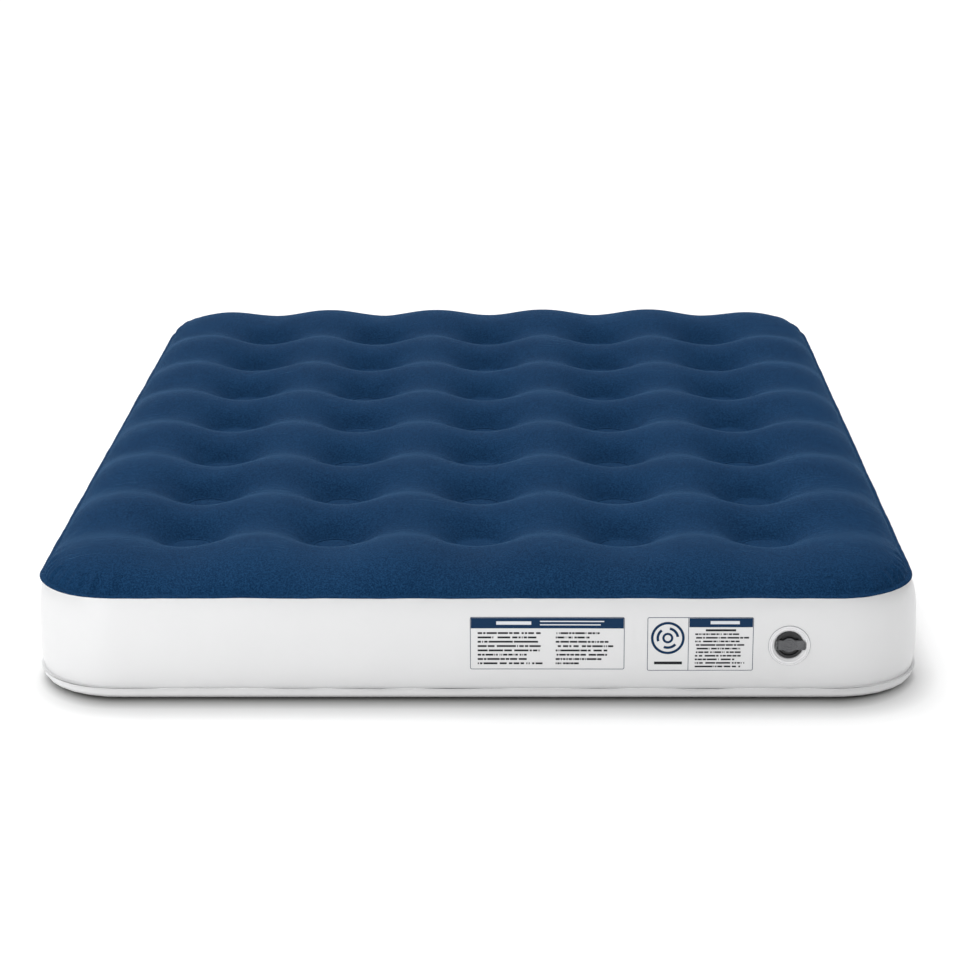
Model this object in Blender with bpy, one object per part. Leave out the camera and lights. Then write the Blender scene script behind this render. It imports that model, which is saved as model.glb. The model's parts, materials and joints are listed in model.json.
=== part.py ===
"""Inflatable queen-size air mattress: quilted flocked top, white side wall, coil beams and a screw-in valve.

Metres, +Z up. The origin is on the floor under the middle of the mattress. +Y points to the head end, and the
valve is in the foot end wall, at -Y. Each valve piece is drawn in the valve's own frame: X to the right, Y up
and Z out of the wall, with Z = 0 on the outer face of the wall.
"""

import math

import bmesh
import bpy
from mathutils import Matrix, Vector
from mathutils.geometry import delaunay_2d_cdt

# Air chamber, measured from seam to seam
WIDTH = 1.52
LENGTH = 2.03
CORNER_RADIUS = 0.12
BOTTOM_SEAM = 0.022
WALL_HEIGHT = 0.1645
WALL_BULGE = 0.008
SHEET = 0.0004
GAP = 0.0003
WELD_FLANGE = 0.006
CORNER_STEPS = 6
LEAST_INNER_RADIUS = 0.012
SMOOTH_ANGLE = math.radians(40)
MERGE = 1e-6

# Quilted top and bottom
COLUMNS = 5
ROWS = 7
SIDE_MARGIN = 0.242
END_MARGIN = 0.266
DISC_RADIUS = 0.046
DIMPLE_RADIUS = 0.078
DIMPLE_SIDES = 8
TOP_DISC_RISE = 0.0035
TOP_SHOULDER_RISE = 0.033
TOP_SADDLE_RISE = 0.042
TOP_CREST_RISE = 0.060
TOP_ROLL = 0.085
BOTTOM_DISC_HEIGHT = 0.015
BOTTOM_ROLL = 0.03
ROLL_STEPS = 3

# Coil beams
BEAM_WALL = 0.0005
BEAM_VENT = 0.012

# Valve place and the flat stretch of wall round it
VALVE_FROM_SIDE = 0.22
VALVE_ABOVE_SEAM = 0.079
VALVE_FLAT_MARGIN = 0.0095
SHOULDER_OUT = 0.7
SHOULDER_UP = 0.35

# Valve base, from the bore outwards
TURN_STEPS = 24
BORE_RADIUS = 0.0226
LEDGE_WIDTH = 0.002
LEDGE_DEPTH = 0.006
FUNNEL_FLARE = 0.0047
FUNNEL_WALL = 0.0008
BARREL_CLEARANCE = 0.0005
BARREL_DEPTH = 0.002
WELD_WIDTH = 0.0054
BASE_FLANGE = 0.0012
BASE_BEAD = 0.0008
BASE_BEAD_WIDTH = 0.0022
HUB_WALL = 0.0036
HUB_SLOPE = 0.003
HUB_DEPTH = 0.024

# Thread between base and insert
THREAD_PITCH = 0.0045
THREAD_ENGAGE = 0.0012
THREAD_CLEARANCE = 0.0006
THREAD_ROOT_WIDTH = 0.0018
THREAD_CREST_WIDTH = 0.0010
THREAD_SINK = 0.0004
THREAD_END_MARGIN = 0.0004

# Seal and insert
SEAL_THICKNESS = 0.001
LIP_THICKNESS = 0.0014
LIP_CLEARANCE = 0.0004
SKIRT_WALL = 0.0013
SKIRT_DEPTH = 0.0185
DISH_DEPTH = 0.0036
FLOOR_THICKNESS = 0.0015
NOZZLE_RADIUS = 0.0093
NOZZLE_WALL = 0.0015
NOZZLE_DEPTH = 0.019
SEAT_WIDTH = 0.0072
SEAT_THICKNESS = 0.0015

# Stopper: strap, plug and pull tab in one moulding
STRAP_WIDTH = 0.0175
STRAP_THICKNESS = 0.0012
FOLD_CLEARANCE = 0.0003
ANCHOR_GAP = 0.0008
ANCHOR_MARGIN = 0.0006
STUD_RADIUS = 0.0009
STUD_CLEARANCE = 0.0003
STUD_STEPS = 8
CAP_OVERHANG = 0.004
CAP_RISE = 0.0006
PLUG_CLEARANCE = 0.0003
PLUG_DEPTH = 0.005
PLUG_TAPER = 0.002
PLUG_WALL = 0.0052
PLUG_FLOOR = 0.0027
TAB_CLEARANCE = 0.0003
TAB_MARGIN = 0.001
TAB_LENGTH = 0.0068

# One-way flap and its pin
FLAP_OVERLAP = 0.0013
FLAP_THICKNESS = 0.001
PIN_RADIUS = 0.0008
PIN_CLEARANCE = 0.0003
PIN_STEPS = 10
KNUCKLE_WALL = 0.0005
KNUCKLE_LENGTH = 0.0038
LUG_THICKNESS = 0.0019
LUG_CLEARANCE = 0.0004
LUG_MARGIN = 0.0006
SWING_CLEARANCE = 0.0008
ARM_INSET = 0.0001

# Values that follow from the ones above
TOP_SEAM = BOTTOM_SEAM + WALL_HEIGHT
COLUMN_PITCH = (WIDTH - 2 * SIDE_MARGIN) / (COLUMNS - 1)
ROW_PITCH = (LENGTH - 2 * END_MARGIN) / (ROWS - 1)
WALL_FACE_Y = -LENGTH / 2 - WALL_BULGE
VALVE_X = WIDTH / 2 - VALVE_FROM_SIDE
VALVE_Z = BOTTOM_SEAM + VALVE_ABOVE_SEAM
LEDGE_RADIUS = BORE_RADIUS + LEDGE_WIDTH
FUNNEL_RADIUS = LEDGE_RADIUS + FUNNEL_FLARE
BARREL_RADIUS = FUNNEL_RADIUS + FUNNEL_WALL
BASE_RADIUS = BARREL_RADIUS + WELD_WIDTH
HUB_RADIUS = BORE_RADIUS + HUB_WALL
FLANGE_TOP = GAP + BASE_FLANGE
INSERT_CREST = BORE_RADIUS - THREAD_CLEARANCE
BASE_CREST = BORE_RADIUS - THREAD_ENGAGE
INSERT_RADIUS = BASE_CREST - THREAD_CLEARANCE
THREAD_START = -SKIRT_DEPTH + THREAD_ROOT_WIDTH / 2 + THREAD_END_MARGIN
THREAD_RISE = -LEDGE_DEPTH - THREAD_END_MARGIN - THREAD_ROOT_WIDTH / 2 - THREAD_START
SKIRT_INSIDE = INSERT_RADIUS - SKIRT_WALL
SEAT_RADIUS = NOZZLE_RADIUS + SEAT_WIDTH
SEAL_FOOT = -LEDGE_DEPTH + GAP
LIP_FOOT = SEAL_FOOT + SEAL_THICKNESS + GAP
LIP_TOP = LIP_FOOT + LIP_THICKNESS
LIP_RADIUS = LEDGE_RADIUS - LIP_CLEARANCE
DISH_FLOOR = LIP_FOOT - DISH_DEPTH
STRAP_FOOT = LIP_TOP + GAP
STRAP_TOP = STRAP_FOOT + STRAP_THICKNESS
FOLD_X = -SKIRT_INSIDE
ANCHOR_NEAR = FOLD_X - ANCHOR_GAP
ANCHOR_FAR = -LIP_RADIUS + ANCHOR_MARGIN
PLUG_RADIUS = NOZZLE_RADIUS - PLUG_CLEARANCE
PLUG_TIP = DISH_FLOOR - PLUG_DEPTH
PLUG_HOLLOW = PLUG_RADIUS - PLUG_WALL
TAB_REACH = FUNNEL_RADIUS - TAB_MARGIN
TAB_RISE = FLANGE_TOP + TAB_CLEARANCE - STRAP_FOOT
FLAP_TOP = -NOZZLE_DEPTH - GAP
KNUCKLE_RADIUS = PIN_RADIUS + PIN_CLEARANCE + KNUCKLE_WALL
PIN_Y = NOZZLE_RADIUS + FLAP_OVERLAP + SWING_CLEARANCE + KNUCKLE_RADIUS + LUG_MARGIN
PIN_Z = -NOZZLE_DEPTH - LUG_CLEARANCE - KNUCKLE_RADIUS


def clear_scene():
    for obj in list(bpy.data.objects):
        bpy.data.objects.remove(obj, do_unlink=True)


def material(name, colour, roughness, alpha=1.0):
    found = bpy.data.materials.get(name)
    if found:
        return found
    made = bpy.data.materials.new(name)
    made.use_nodes = True
    made.diffuse_color = (*colour, alpha)
    shader = made.node_tree.nodes["Principled BSDF"]
    shader.inputs["Base Color"].default_value = (*colour, 1.0)
    shader.inputs["Roughness"].default_value = roughness
    shader.inputs["Alpha"].default_value = alpha
    return made


def flock():
    return material("flocked_navy", (0.014, 0.042, 0.105), 0.95)


def white_vinyl():
    return material("white_vinyl", (0.80, 0.80, 0.80), 0.45)


def beam_vinyl():
    return material("beam_vinyl", (0.55, 0.58, 0.62), 0.5)


def valve_white():
    return material("valve_white", (0.82, 0.82, 0.82), 0.3)


def valve_black():
    return material("valve_black", (0.012, 0.012, 0.013), 0.4)


def smoke_clear():
    return material("smoke_clear", (0.42, 0.43, 0.45), 0.2, alpha=0.6)


def soft_rubber():
    return material("soft_rubber", (0.05, 0.05, 0.055), 0.8)


def place(name, mesh, surface, parent=None, location=(0, 0, 0)):
    """Adds the mesh as an object, with flat facets kept and round ones shaded smooth."""
    mesh.materials.clear()
    mesh.materials.append(surface)
    mesh.shade_smooth()
    mesh.set_sharp_from_angle(angle=SMOOTH_ANGLE)
    obj = bpy.data.objects.new(name, mesh)
    bpy.context.scene.collection.objects.link(obj)
    obj.parent = parent
    obj.location = location
    return obj


def finished(name, bm):
    bmesh.ops.recalc_face_normals(bm, faces=bm.faces)
    mesh = bpy.data.meshes.new(name)
    bm.to_mesh(mesh)
    bm.free()
    return mesh


def helper(obj):
    obj.hide_render = True
    obj.display_type = "WIRE"
    return obj


def combine(obj, other, operation):
    boolean = obj.modifiers.new(other.name, "BOOLEAN")
    boolean.operation = operation
    boolean.solver = "EXACT"
    boolean.object = helper(other)


def thicken(obj, thickness):
    """Gives an open surface its thickness, on the side away from its normals."""
    solidify = obj.modifiers.new("Thickness", "SOLIDIFY")
    solidify.thickness = thickness
    solidify.offset = -1
    solidify.use_even_offset = True


def turned(name, profile, steps=TURN_STEPS):
    """A solid of revolution about Z from the (radius, height) points of its section."""
    bm = bmesh.new()
    points = [bm.verts.new((radius, 0, height)) for radius, height in profile]
    closed = profile[0][0] > 0 or profile[-1][0] > 0
    pairs = zip(points, points[1:] + points[:1] if closed else points[1:])
    section = [bm.edges.new(pair) for pair in pairs]
    bmesh.ops.spin(bm, geom=points + section, axis=(0, 0, 1), angle=math.tau, steps=steps, use_merge=True)
    bmesh.ops.remove_doubles(bm, verts=bm.verts, dist=MERGE)
    return finished(name, bm)


def prism(name, outline, low, high):
    """A solid between low and high along Y, from its outline's (x, z) points."""
    bm = bmesh.new()
    face = bm.faces.new([bm.verts.new((x, low, z)) for x, z in outline])
    raised = bmesh.ops.extrude_face_region(bm, geom=[face])["geom"]
    moved = [item for item in raised if isinstance(item, bmesh.types.BMVert)]
    bmesh.ops.translate(bm, verts=moved, vec=(0, high - low, 0))
    return finished(name, bm)


def block(name, size, middle):
    """A box of this size about its middle."""
    bm = bmesh.new()
    bmesh.ops.create_cube(bm, size=1)
    bmesh.ops.scale(bm, verts=bm.verts, vec=size)
    bmesh.ops.translate(bm, verts=bm.verts, vec=middle)
    return finished(name, bm)


def rod(name, radius, length, steps, across_x=False):
    """A cylinder about the origin, along Z or along X."""
    bm = bmesh.new()
    bmesh.ops.create_cone(bm, cap_ends=True, segments=steps, radius1=radius, radius2=radius, depth=length)
    if across_x:
        bmesh.ops.rotate(bm, verts=bm.verts, matrix=Matrix.Rotation(math.pi / 2, 3, "Y"))
    return finished(name, bm)


def thread_ridge(name, root_radius, crest_radius, first_height, phase):
    """A right-hand thread's ridge: a tapering section carried up a helix, with closed ends."""
    corners = [
        (root_radius, -THREAD_ROOT_WIDTH / 2),
        (crest_radius, -THREAD_CREST_WIDTH / 2),
        (crest_radius, THREAD_CREST_WIDTH / 2),
        (root_radius, THREAD_ROOT_WIDTH / 2),
    ]
    bm = bmesh.new()
    sections = []
    for step in range(int(THREAD_RISE / THREAD_PITCH * TURN_STEPS) + 1):
        turn = step / TURN_STEPS
        angle = math.tau * (turn + phase)
        height = first_height + THREAD_PITCH * turn
        sections.append(
            [bm.verts.new((r * math.cos(angle), r * math.sin(angle), height + dz)) for r, dz in corners]
        )
    for lower, upper in zip(sections, sections[1:]):
        for i in range(len(corners)):
            j = (i + 1) % len(corners)
            bm.faces.new((lower[i], lower[j], upper[j], upper[i]))
    bm.faces.new(sections[0])
    bm.faces.new(sections[-1])
    return finished(name, bm)


def outline(grow):
    """The rounded rectangle of the seam, grown outwards, as points that run round it once."""
    radius = CORNER_RADIUS + grow
    points = []
    for corner, (side, end) in enumerate(((1, 1), (-1, 1), (-1, -1), (1, -1))):
        centre = Vector((side * (WIDTH / 2 - CORNER_RADIUS), end * (LENGTH / 2 - CORNER_RADIUS)))
        for step in range(CORNER_STEPS + 1):
            angle = math.pi / 2 * (corner + step / CORNER_STEPS)
            points.append(centre + radius * Vector((math.cos(angle), math.sin(angle))))
    return points


def split_outline(grow):
    """The same outline, with its straight runs divided as finely as the dimples are spaced."""
    corners = outline(grow)
    points = []
    for here, there in zip(corners, corners[1:] + corners[:1]):
        pieces = max(1, round((there - here).length / min(COLUMN_PITCH, ROW_PITCH)))
        points += [here.lerp(there, step / pieces) for step in range(pieces)]
    return points


def dimple_centres():
    for row in range(ROWS):
        for column in range(COLUMNS):
            x = (column - (COLUMNS - 1) / 2) * COLUMN_PITCH
            y = (row - (ROWS - 1) / 2) * ROW_PITCH
            yield x, y


def ring(centre, radius, sides=DIMPLE_SIDES):
    for step in range(sides):
        angle = math.tau * (step + 0.5) / sides
        yield Vector((centre[0] + radius * math.cos(angle), centre[1] + radius * math.sin(angle)))


def ridge_points():
    """Points between the dimples: (place, whether it is a saddle between two dimples)."""
    for row in range(2 * ROWS + 1):
        for column in range(2 * COLUMNS + 1):
            if row % 2 and column % 2:
                continue
            x = (column - COLUMNS) * COLUMN_PITCH / 2
            y = (row - ROWS) * ROW_PITCH / 2
            yield Vector((x, y)), bool(row % 2 or column % 2)


def quilted_sheet(name, surface, facing, seam, disc, shoulder, saddle, crest, roll):
    """A sheet with a weld flange, a rolled edge and a grid of dimples.

    facing is 1 for the top and -1 for the bottom; the heights are those of its outer face.
    """
    flange_face = seam + facing * (GAP / 2 + SHEET)
    roll = min(roll, CORNER_RADIUS - LEAST_INNER_RADIUS)
    rings = [(split_outline(WELD_FLANGE), flange_face), (split_outline(0), flange_face)]
    for step in range(1, ROLL_STEPS + 1):
        angle = math.pi / 2 * step / ROLL_STEPS
        height = flange_face + (saddle - flange_face) * math.sin(angle)
        rings.append((split_outline(roll * (math.cos(angle) - 1)), height))
    for centre in dimple_centres():
        rings.append((list(ring(centre, DISC_RADIUS)), disc))
        rings.append((list(ring(centre, DIMPLE_RADIUS)), shoulder))
    levels = []
    edges = []
    for points, height in rings:
        first = len(levels)
        levels += [(point, height) for point in points]
        edges += [(first + i, first + (i + 1) % len(points)) for i in range(len(points))]
    levels += [(point, saddle if is_saddle else crest) for point, is_saddle in ridge_points()]

    found = delaunay_2d_cdt([point for point, _ in levels], edges, [], 1, MERGE)
    bm = bmesh.new()
    verts = [bm.verts.new((*spot, levels[made_from[0]][1])) for spot, made_from in zip(found[0], found[3])]
    for triangle in found[2]:
        face = bm.faces.new([verts[i] for i in triangle])
        face.normal_update()
        if face.normal.z * facing < 0:
            face.normal_flip()
    mesh = bpy.data.meshes.new(name)
    bm.to_mesh(mesh)
    bm.free()
    obj = place(name, mesh, surface)
    thicken(obj, SHEET)
    return obj


def top_sheet():
    return quilted_sheet(
        "top_sheet",
        flock(),
        facing=1,
        seam=TOP_SEAM,
        disc=TOP_SEAM + TOP_DISC_RISE,
        shoulder=TOP_SEAM + TOP_SHOULDER_RISE,
        saddle=TOP_SEAM + TOP_SADDLE_RISE,
        crest=TOP_SEAM + TOP_CREST_RISE,
        roll=TOP_ROLL,
    )


def bottom_sheet():
    return quilted_sheet(
        "bottom_sheet",
        white_vinyl(),
        facing=-1,
        seam=BOTTOM_SEAM,
        disc=BOTTOM_DISC_HEIGHT,
        shoulder=0,
        saddle=0,
        crest=0,
        roll=BOTTOM_ROLL,
    )


def wall_section():
    """(outward offset, height) points of the wall's outer face, from its bottom flange to its top flange."""
    low_flange = BOTTOM_SEAM + GAP / 2 + SHEET
    high_flange = TOP_SEAM - GAP / 2 - SHEET
    flat_low = VALVE_Z - BASE_RADIUS - VALVE_FLAT_MARGIN
    flat_high = VALVE_Z + BASE_RADIUS + VALVE_FLAT_MARGIN
    return [
        (WELD_FLANGE, low_flange),
        (0, low_flange),
        (SHOULDER_OUT * WALL_BULGE, low_flange + SHOULDER_UP * (flat_low - low_flange)),
        (WALL_BULGE, flat_low),
        (WALL_BULGE, flat_high),
        (SHOULDER_OUT * WALL_BULGE, high_flange - SHOULDER_UP * (high_flange - flat_high)),
        (0, high_flange),
        (WELD_FLANGE, high_flange),
    ]


def side_wall(valve):
    bm = bmesh.new()
    levels = [[bm.verts.new((*point, height)) for point in outline(out)] for out, height in wall_section()]
    for lower, upper in zip(levels, levels[1:]):
        for i in range(len(lower)):
            j = (i + 1) % len(lower)
            bm.faces.new((lower[i], lower[j], upper[j], upper[i]))
    mesh = bpy.data.meshes.new("side_wall")
    bm.to_mesh(mesh)
    bm.free()
    wall = place("side_wall", mesh, white_vinyl())
    thicken(wall, SHEET)
    hole = rod("wall_hole", BARREL_RADIUS + BARREL_CLEARANCE, 2 * HUB_DEPTH, TURN_STEPS)
    combine(wall, place("wall_hole", hole, white_vinyl(), valve), "DIFFERENCE")
    return wall


def coil_beams():
    """One tube under each dimple, welded to both sheets in the real thing, with a vent through its wall."""
    foot = BOTTOM_DISC_HEIGHT + SHEET + GAP
    head = TOP_SEAM + TOP_DISC_RISE - SHEET - GAP
    inner = DISC_RADIUS - BEAM_WALL
    section = [(DISC_RADIUS, foot), (DISC_RADIUS, head), (inner, head), (inner, foot)]
    pattern = place("beam_pattern", turned("coil_beam", section, DIMPLE_SIDES), beam_vinyl())
    vent = rod("beam_vent", BEAM_VENT / 2, DISC_RADIUS, 4, across_x=True)
    middle = (DISC_RADIUS, 0, (foot + head) / 2)
    facet = Matrix.Rotation(math.pi / DIMPLE_SIDES, 4, "Z")
    combine(pattern, place("beam_vent", vent, beam_vinyl(), location=facet @ Vector(middle)), "DIFFERENCE")
    bpy.data.objects["beam_vent"].rotation_euler.z = math.pi / DIMPLE_SIDES
    helper(pattern)
    bpy.context.view_layer.update()
    drilled = bpy.data.meshes.new_from_object(pattern.evaluated_get(bpy.context.evaluated_depsgraph_get()))
    drilled.transform(Matrix.Rotation(math.pi / DIMPLE_SIDES, 4, "Z"))
    for number, (x, y) in enumerate(dimple_centres(), start=1):
        place(f"coil_beam_{number:02d}", drilled, beam_vinyl(), location=(x, y, 0))


def valve_frame():
    """The valve's own frame: X right, Y up, Z out of the wall, on the outer face of the wall."""
    frame = bpy.data.objects.new("valve_frame", None)
    bpy.context.scene.collection.objects.link(frame)
    frame.location = (VALVE_X, WALL_FACE_Y, VALVE_Z)
    frame.rotation_euler = (math.pi / 2, 0, 0)
    return frame


def valve_base(valve):
    """Ring, funnel and threaded hub, welded to the wall in the real thing."""
    bead_top = FLANGE_TOP + BASE_BEAD
    bead_foot = BASE_RADIUS - BASE_BEAD_WIDTH
    profile = [
        (BASE_RADIUS, GAP),
        (BASE_RADIUS, bead_top),
        (bead_foot, bead_top),
        (bead_foot, FLANGE_TOP),
        (FUNNEL_RADIUS, FLANGE_TOP),
        (LEDGE_RADIUS, -LEDGE_DEPTH),
        (BORE_RADIUS, -LEDGE_DEPTH),
        (BORE_RADIUS, -HUB_DEPTH),
        (HUB_RADIUS, -HUB_DEPTH),
        (HUB_RADIUS, -LEDGE_DEPTH - HUB_SLOPE),
        (BARREL_RADIUS, -BARREL_DEPTH),
        (BARREL_RADIUS, GAP),
    ]
    base = place("valve_base", turned("valve_base", profile), valve_white(), valve)
    ridge = thread_ridge("base_thread", BORE_RADIUS + THREAD_SINK, BASE_CREST, THREAD_START, 0)
    combine(base, place("base_thread", ridge, valve_white(), valve), "UNION")


def seal_ring(valve):
    """Flat ring between the base's ledge and the insert's lip."""
    top = SEAL_FOOT + SEAL_THICKNESS
    profile = [(LIP_RADIUS, SEAL_FOOT), (LIP_RADIUS, top), (BORE_RADIUS, top), (BORE_RADIUS, SEAL_FOOT)]
    place("seal_ring", turned("seal_ring", profile), soft_rubber(), valve)


def valve_insert(valve):
    """Threaded cup with a lip, a dished floor, a nozzle bore and the seat and lugs of the one-way flap."""
    nozzle = NOZZLE_RADIUS + NOZZLE_WALL
    profile = [
        (LIP_RADIUS, LIP_FOOT),
        (LIP_RADIUS, LIP_TOP),
        (SKIRT_INSIDE, LIP_TOP),
        (SKIRT_INSIDE, DISH_FLOOR),
        (NOZZLE_RADIUS, DISH_FLOOR),
        (NOZZLE_RADIUS, -NOZZLE_DEPTH),
        (SEAT_RADIUS, -NOZZLE_DEPTH),
        (SEAT_RADIUS, -NOZZLE_DEPTH + SEAT_THICKNESS),
        (nozzle, -NOZZLE_DEPTH + SEAT_THICKNESS),
        (nozzle, DISH_FLOOR - FLOOR_THICKNESS),
        (SKIRT_INSIDE, DISH_FLOOR - FLOOR_THICKNESS),
        (SKIRT_INSIDE, -SKIRT_DEPTH),
        (INSERT_RADIUS, -SKIRT_DEPTH),
        (INSERT_RADIUS, LIP_FOOT),
    ]
    insert = place("valve_insert", turned("valve_insert", profile), valve_black(), valve)
    ridge = thread_ridge("insert_thread", INSERT_RADIUS - THREAD_SINK, INSERT_CREST, THREAD_START, 0.5)
    combine(insert, place("insert_thread", ridge, valve_black(), valve), "UNION")
    for side in (-1, 1):
        combine(insert, flap_lug(valve, side), "UNION")
    hole_radius = PIN_RADIUS + PIN_CLEARANCE
    pin_hole = rod("pin_hole", hole_radius, 4 * KNUCKLE_LENGTH, PIN_STEPS, across_x=True)
    combine(insert, place("pin_hole", pin_hole, valve_black(), valve, (0, PIN_Y, PIN_Z)), "DIFFERENCE")
    stud_hole = rod("stud_hole", STUD_RADIUS + STUD_CLEARANCE, 2 * LIP_THICKNESS, STUD_STEPS)
    stud_place = ((ANCHOR_NEAR + ANCHOR_FAR) / 2, 0, LIP_TOP)
    combine(insert, place("stud_hole", stud_hole, valve_black(), valve, stud_place), "DIFFERENCE")


def flap_lug(valve, side):
    """One ear of the flap's hinge, standing on the inner end of the nozzle."""
    inner = KNUCKLE_LENGTH / 2 + LUG_CLEARANCE
    reach = KNUCKLE_RADIUS + LUG_MARGIN
    ends = sorted((side * inner, side * (inner + LUG_THICKNESS)))
    top = -NOZZLE_DEPTH + SEAT_THICKNESS / 2
    size = (ends[1] - ends[0], 2 * reach, top - (PIN_Z - reach))
    middle = ((ends[0] + ends[1]) / 2, PIN_Y, (top + PIN_Z - reach) / 2)
    name = "lug_left" if side < 0 else "lug_right"
    return place(name, block(name, size, middle), valve_black(), valve)


def strap_anchor(valve):
    """The end of the stopper's strap that stays on the insert, with its stud through the lip."""
    side_view = [
        (ANCHOR_FAR, STRAP_FOOT),
        (ANCHOR_NEAR, STRAP_FOOT),
        (ANCHOR_NEAR, STRAP_TOP),
        (ANCHOR_FAR, STRAP_TOP),
    ]
    strap_end = prism("strap_anchor", side_view, -STRAP_WIDTH / 2, STRAP_WIDTH / 2)
    anchor = place("strap_anchor", strap_end, smoke_clear(), valve)
    stud = place("stud", rod("stud", STUD_RADIUS, 2 * LIP_THICKNESS, STUD_STEPS), smoke_clear(), valve)
    stud.location = ((ANCHOR_NEAR + ANCHOR_FAR) / 2, 0, STRAP_FOOT + STRAP_THICKNESS / 3)
    combine(anchor, stud, "UNION")


def stopper(valve):
    """Strap with a pull tab, and a tapered plug under a round cap; it folds about a line near the anchor."""
    fold = Vector((FOLD_X, 0, STRAP_TOP))
    near = FOLD_X + FOLD_CLEARANCE
    tab_root = TAB_REACH - TAB_LENGTH
    side_view = [
        (near, STRAP_FOOT),
        (tab_root, STRAP_FOOT),
        (TAB_REACH, STRAP_FOOT + TAB_RISE),
        (TAB_REACH, STRAP_TOP + TAB_RISE),
        (tab_root, STRAP_TOP),
        (near, STRAP_TOP),
    ]
    strap = prism("stopper", side_view, -STRAP_WIDTH / 2, STRAP_WIDTH / 2)
    strap.transform(Matrix.Translation(-fold))
    body = place("stopper", strap, smoke_clear(), valve, fold)
    cap_top = STRAP_TOP + CAP_RISE
    cap_foot = STRAP_FOOT - CAP_RISE
    profile = [
        (0, cap_top),
        (PLUG_RADIUS + CAP_OVERHANG, cap_top),
        (PLUG_RADIUS + CAP_OVERHANG, cap_foot),
        (PLUG_RADIUS, cap_foot),
        (PLUG_RADIUS, DISH_FLOOR),
        (PLUG_RADIUS - PLUG_TAPER, PLUG_TIP),
        (0, PLUG_TIP),
    ]
    combine(body, place("plug", turned("plug", profile), smoke_clear(), valve), "UNION")
    depth = cap_top - PLUG_TIP - PLUG_FLOOR
    hollow = rod("plug_hollow", PLUG_HOLLOW, 2 * depth, TURN_STEPS // 2)
    combine(body, place("plug_hollow", hollow, smoke_clear(), valve, (0, 0, cap_top)), "DIFFERENCE")


def check_flap(valve):
    """Disc that closes the nozzle's inner end, with a knuckle round the pin."""
    hinge = Vector((0, PIN_Y, PIN_Z))
    radius = NOZZLE_RADIUS + FLAP_OVERLAP
    foot = FLAP_TOP - FLAP_THICKNESS
    disc = turned("check_flap", [(0, foot), (radius, foot), (radius, FLAP_TOP), (0, FLAP_TOP)])
    disc.transform(Matrix.Translation(-hinge))
    flap = place("check_flap", disc, soft_rubber(), valve, hinge)
    knuckle = rod("knuckle", KNUCKLE_RADIUS, KNUCKLE_LENGTH, PIN_STEPS, across_x=True)
    combine(flap, place("knuckle", knuckle, soft_rubber(), valve, hinge), "UNION")
    arm_size = (KNUCKLE_LENGTH - 2 * ARM_INSET, PIN_Y - NOZZLE_RADIUS, FLAP_THICKNESS - 2 * ARM_INSET)
    arm_middle = (0, (PIN_Y + NOZZLE_RADIUS) / 2, FLAP_TOP - FLAP_THICKNESS / 2)
    combine(flap, place("flap_arm", block("flap_arm", arm_size, arm_middle), soft_rubber(), valve), "UNION")
    bore = rod("knuckle_bore", PIN_RADIUS + PIN_CLEARANCE, 2 * KNUCKLE_LENGTH, PIN_STEPS, across_x=True)
    combine(flap, place("knuckle_bore", bore, soft_rubber(), valve, hinge), "DIFFERENCE")


def flap_pin(valve):
    length = KNUCKLE_LENGTH + 2 * (LUG_CLEARANCE + LUG_THICKNESS)
    pin = rod("flap_pin", PIN_RADIUS, length, PIN_STEPS, across_x=True)
    place("flap_pin", pin, valve_black(), valve, (0, PIN_Y, PIN_Z))


def build():
    clear_scene()
    valve = valve_frame()
    top_sheet()
    bottom_sheet()
    side_wall(valve)
    coil_beams()
    valve_base(valve)
    seal_ring(valve)
    valve_insert(valve)
    strap_anchor(valve)
    stopper(valve)
    check_flap(valve)
    flap_pin(valve)


build()
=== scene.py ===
import json
import math

import bmesh
import bpy
import numpy as np
from mathutils import Matrix, Vector, noise


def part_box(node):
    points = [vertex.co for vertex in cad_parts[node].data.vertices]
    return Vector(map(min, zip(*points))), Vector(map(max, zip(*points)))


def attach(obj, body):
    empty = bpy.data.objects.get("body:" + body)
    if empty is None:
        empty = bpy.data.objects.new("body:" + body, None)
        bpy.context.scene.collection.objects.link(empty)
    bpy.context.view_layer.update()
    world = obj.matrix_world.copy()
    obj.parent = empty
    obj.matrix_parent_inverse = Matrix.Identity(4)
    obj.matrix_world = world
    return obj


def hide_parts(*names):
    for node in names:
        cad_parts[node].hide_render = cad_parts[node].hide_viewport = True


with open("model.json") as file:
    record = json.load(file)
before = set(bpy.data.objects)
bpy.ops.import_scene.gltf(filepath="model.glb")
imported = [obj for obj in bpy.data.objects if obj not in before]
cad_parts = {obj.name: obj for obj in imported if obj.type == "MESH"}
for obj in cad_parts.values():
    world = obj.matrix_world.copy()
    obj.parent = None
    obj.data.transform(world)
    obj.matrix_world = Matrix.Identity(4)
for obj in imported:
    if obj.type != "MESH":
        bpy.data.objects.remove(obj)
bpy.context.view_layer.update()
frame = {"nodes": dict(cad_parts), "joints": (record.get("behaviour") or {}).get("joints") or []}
print("frame loaded:", len(frame["nodes"]), "nodes")

for leftover in ("Cube", "Light", "Camera"):
    if leftover in bpy.data.objects:
        bpy.data.objects.remove(bpy.data.objects[leftover], do_unlink=True)

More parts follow.
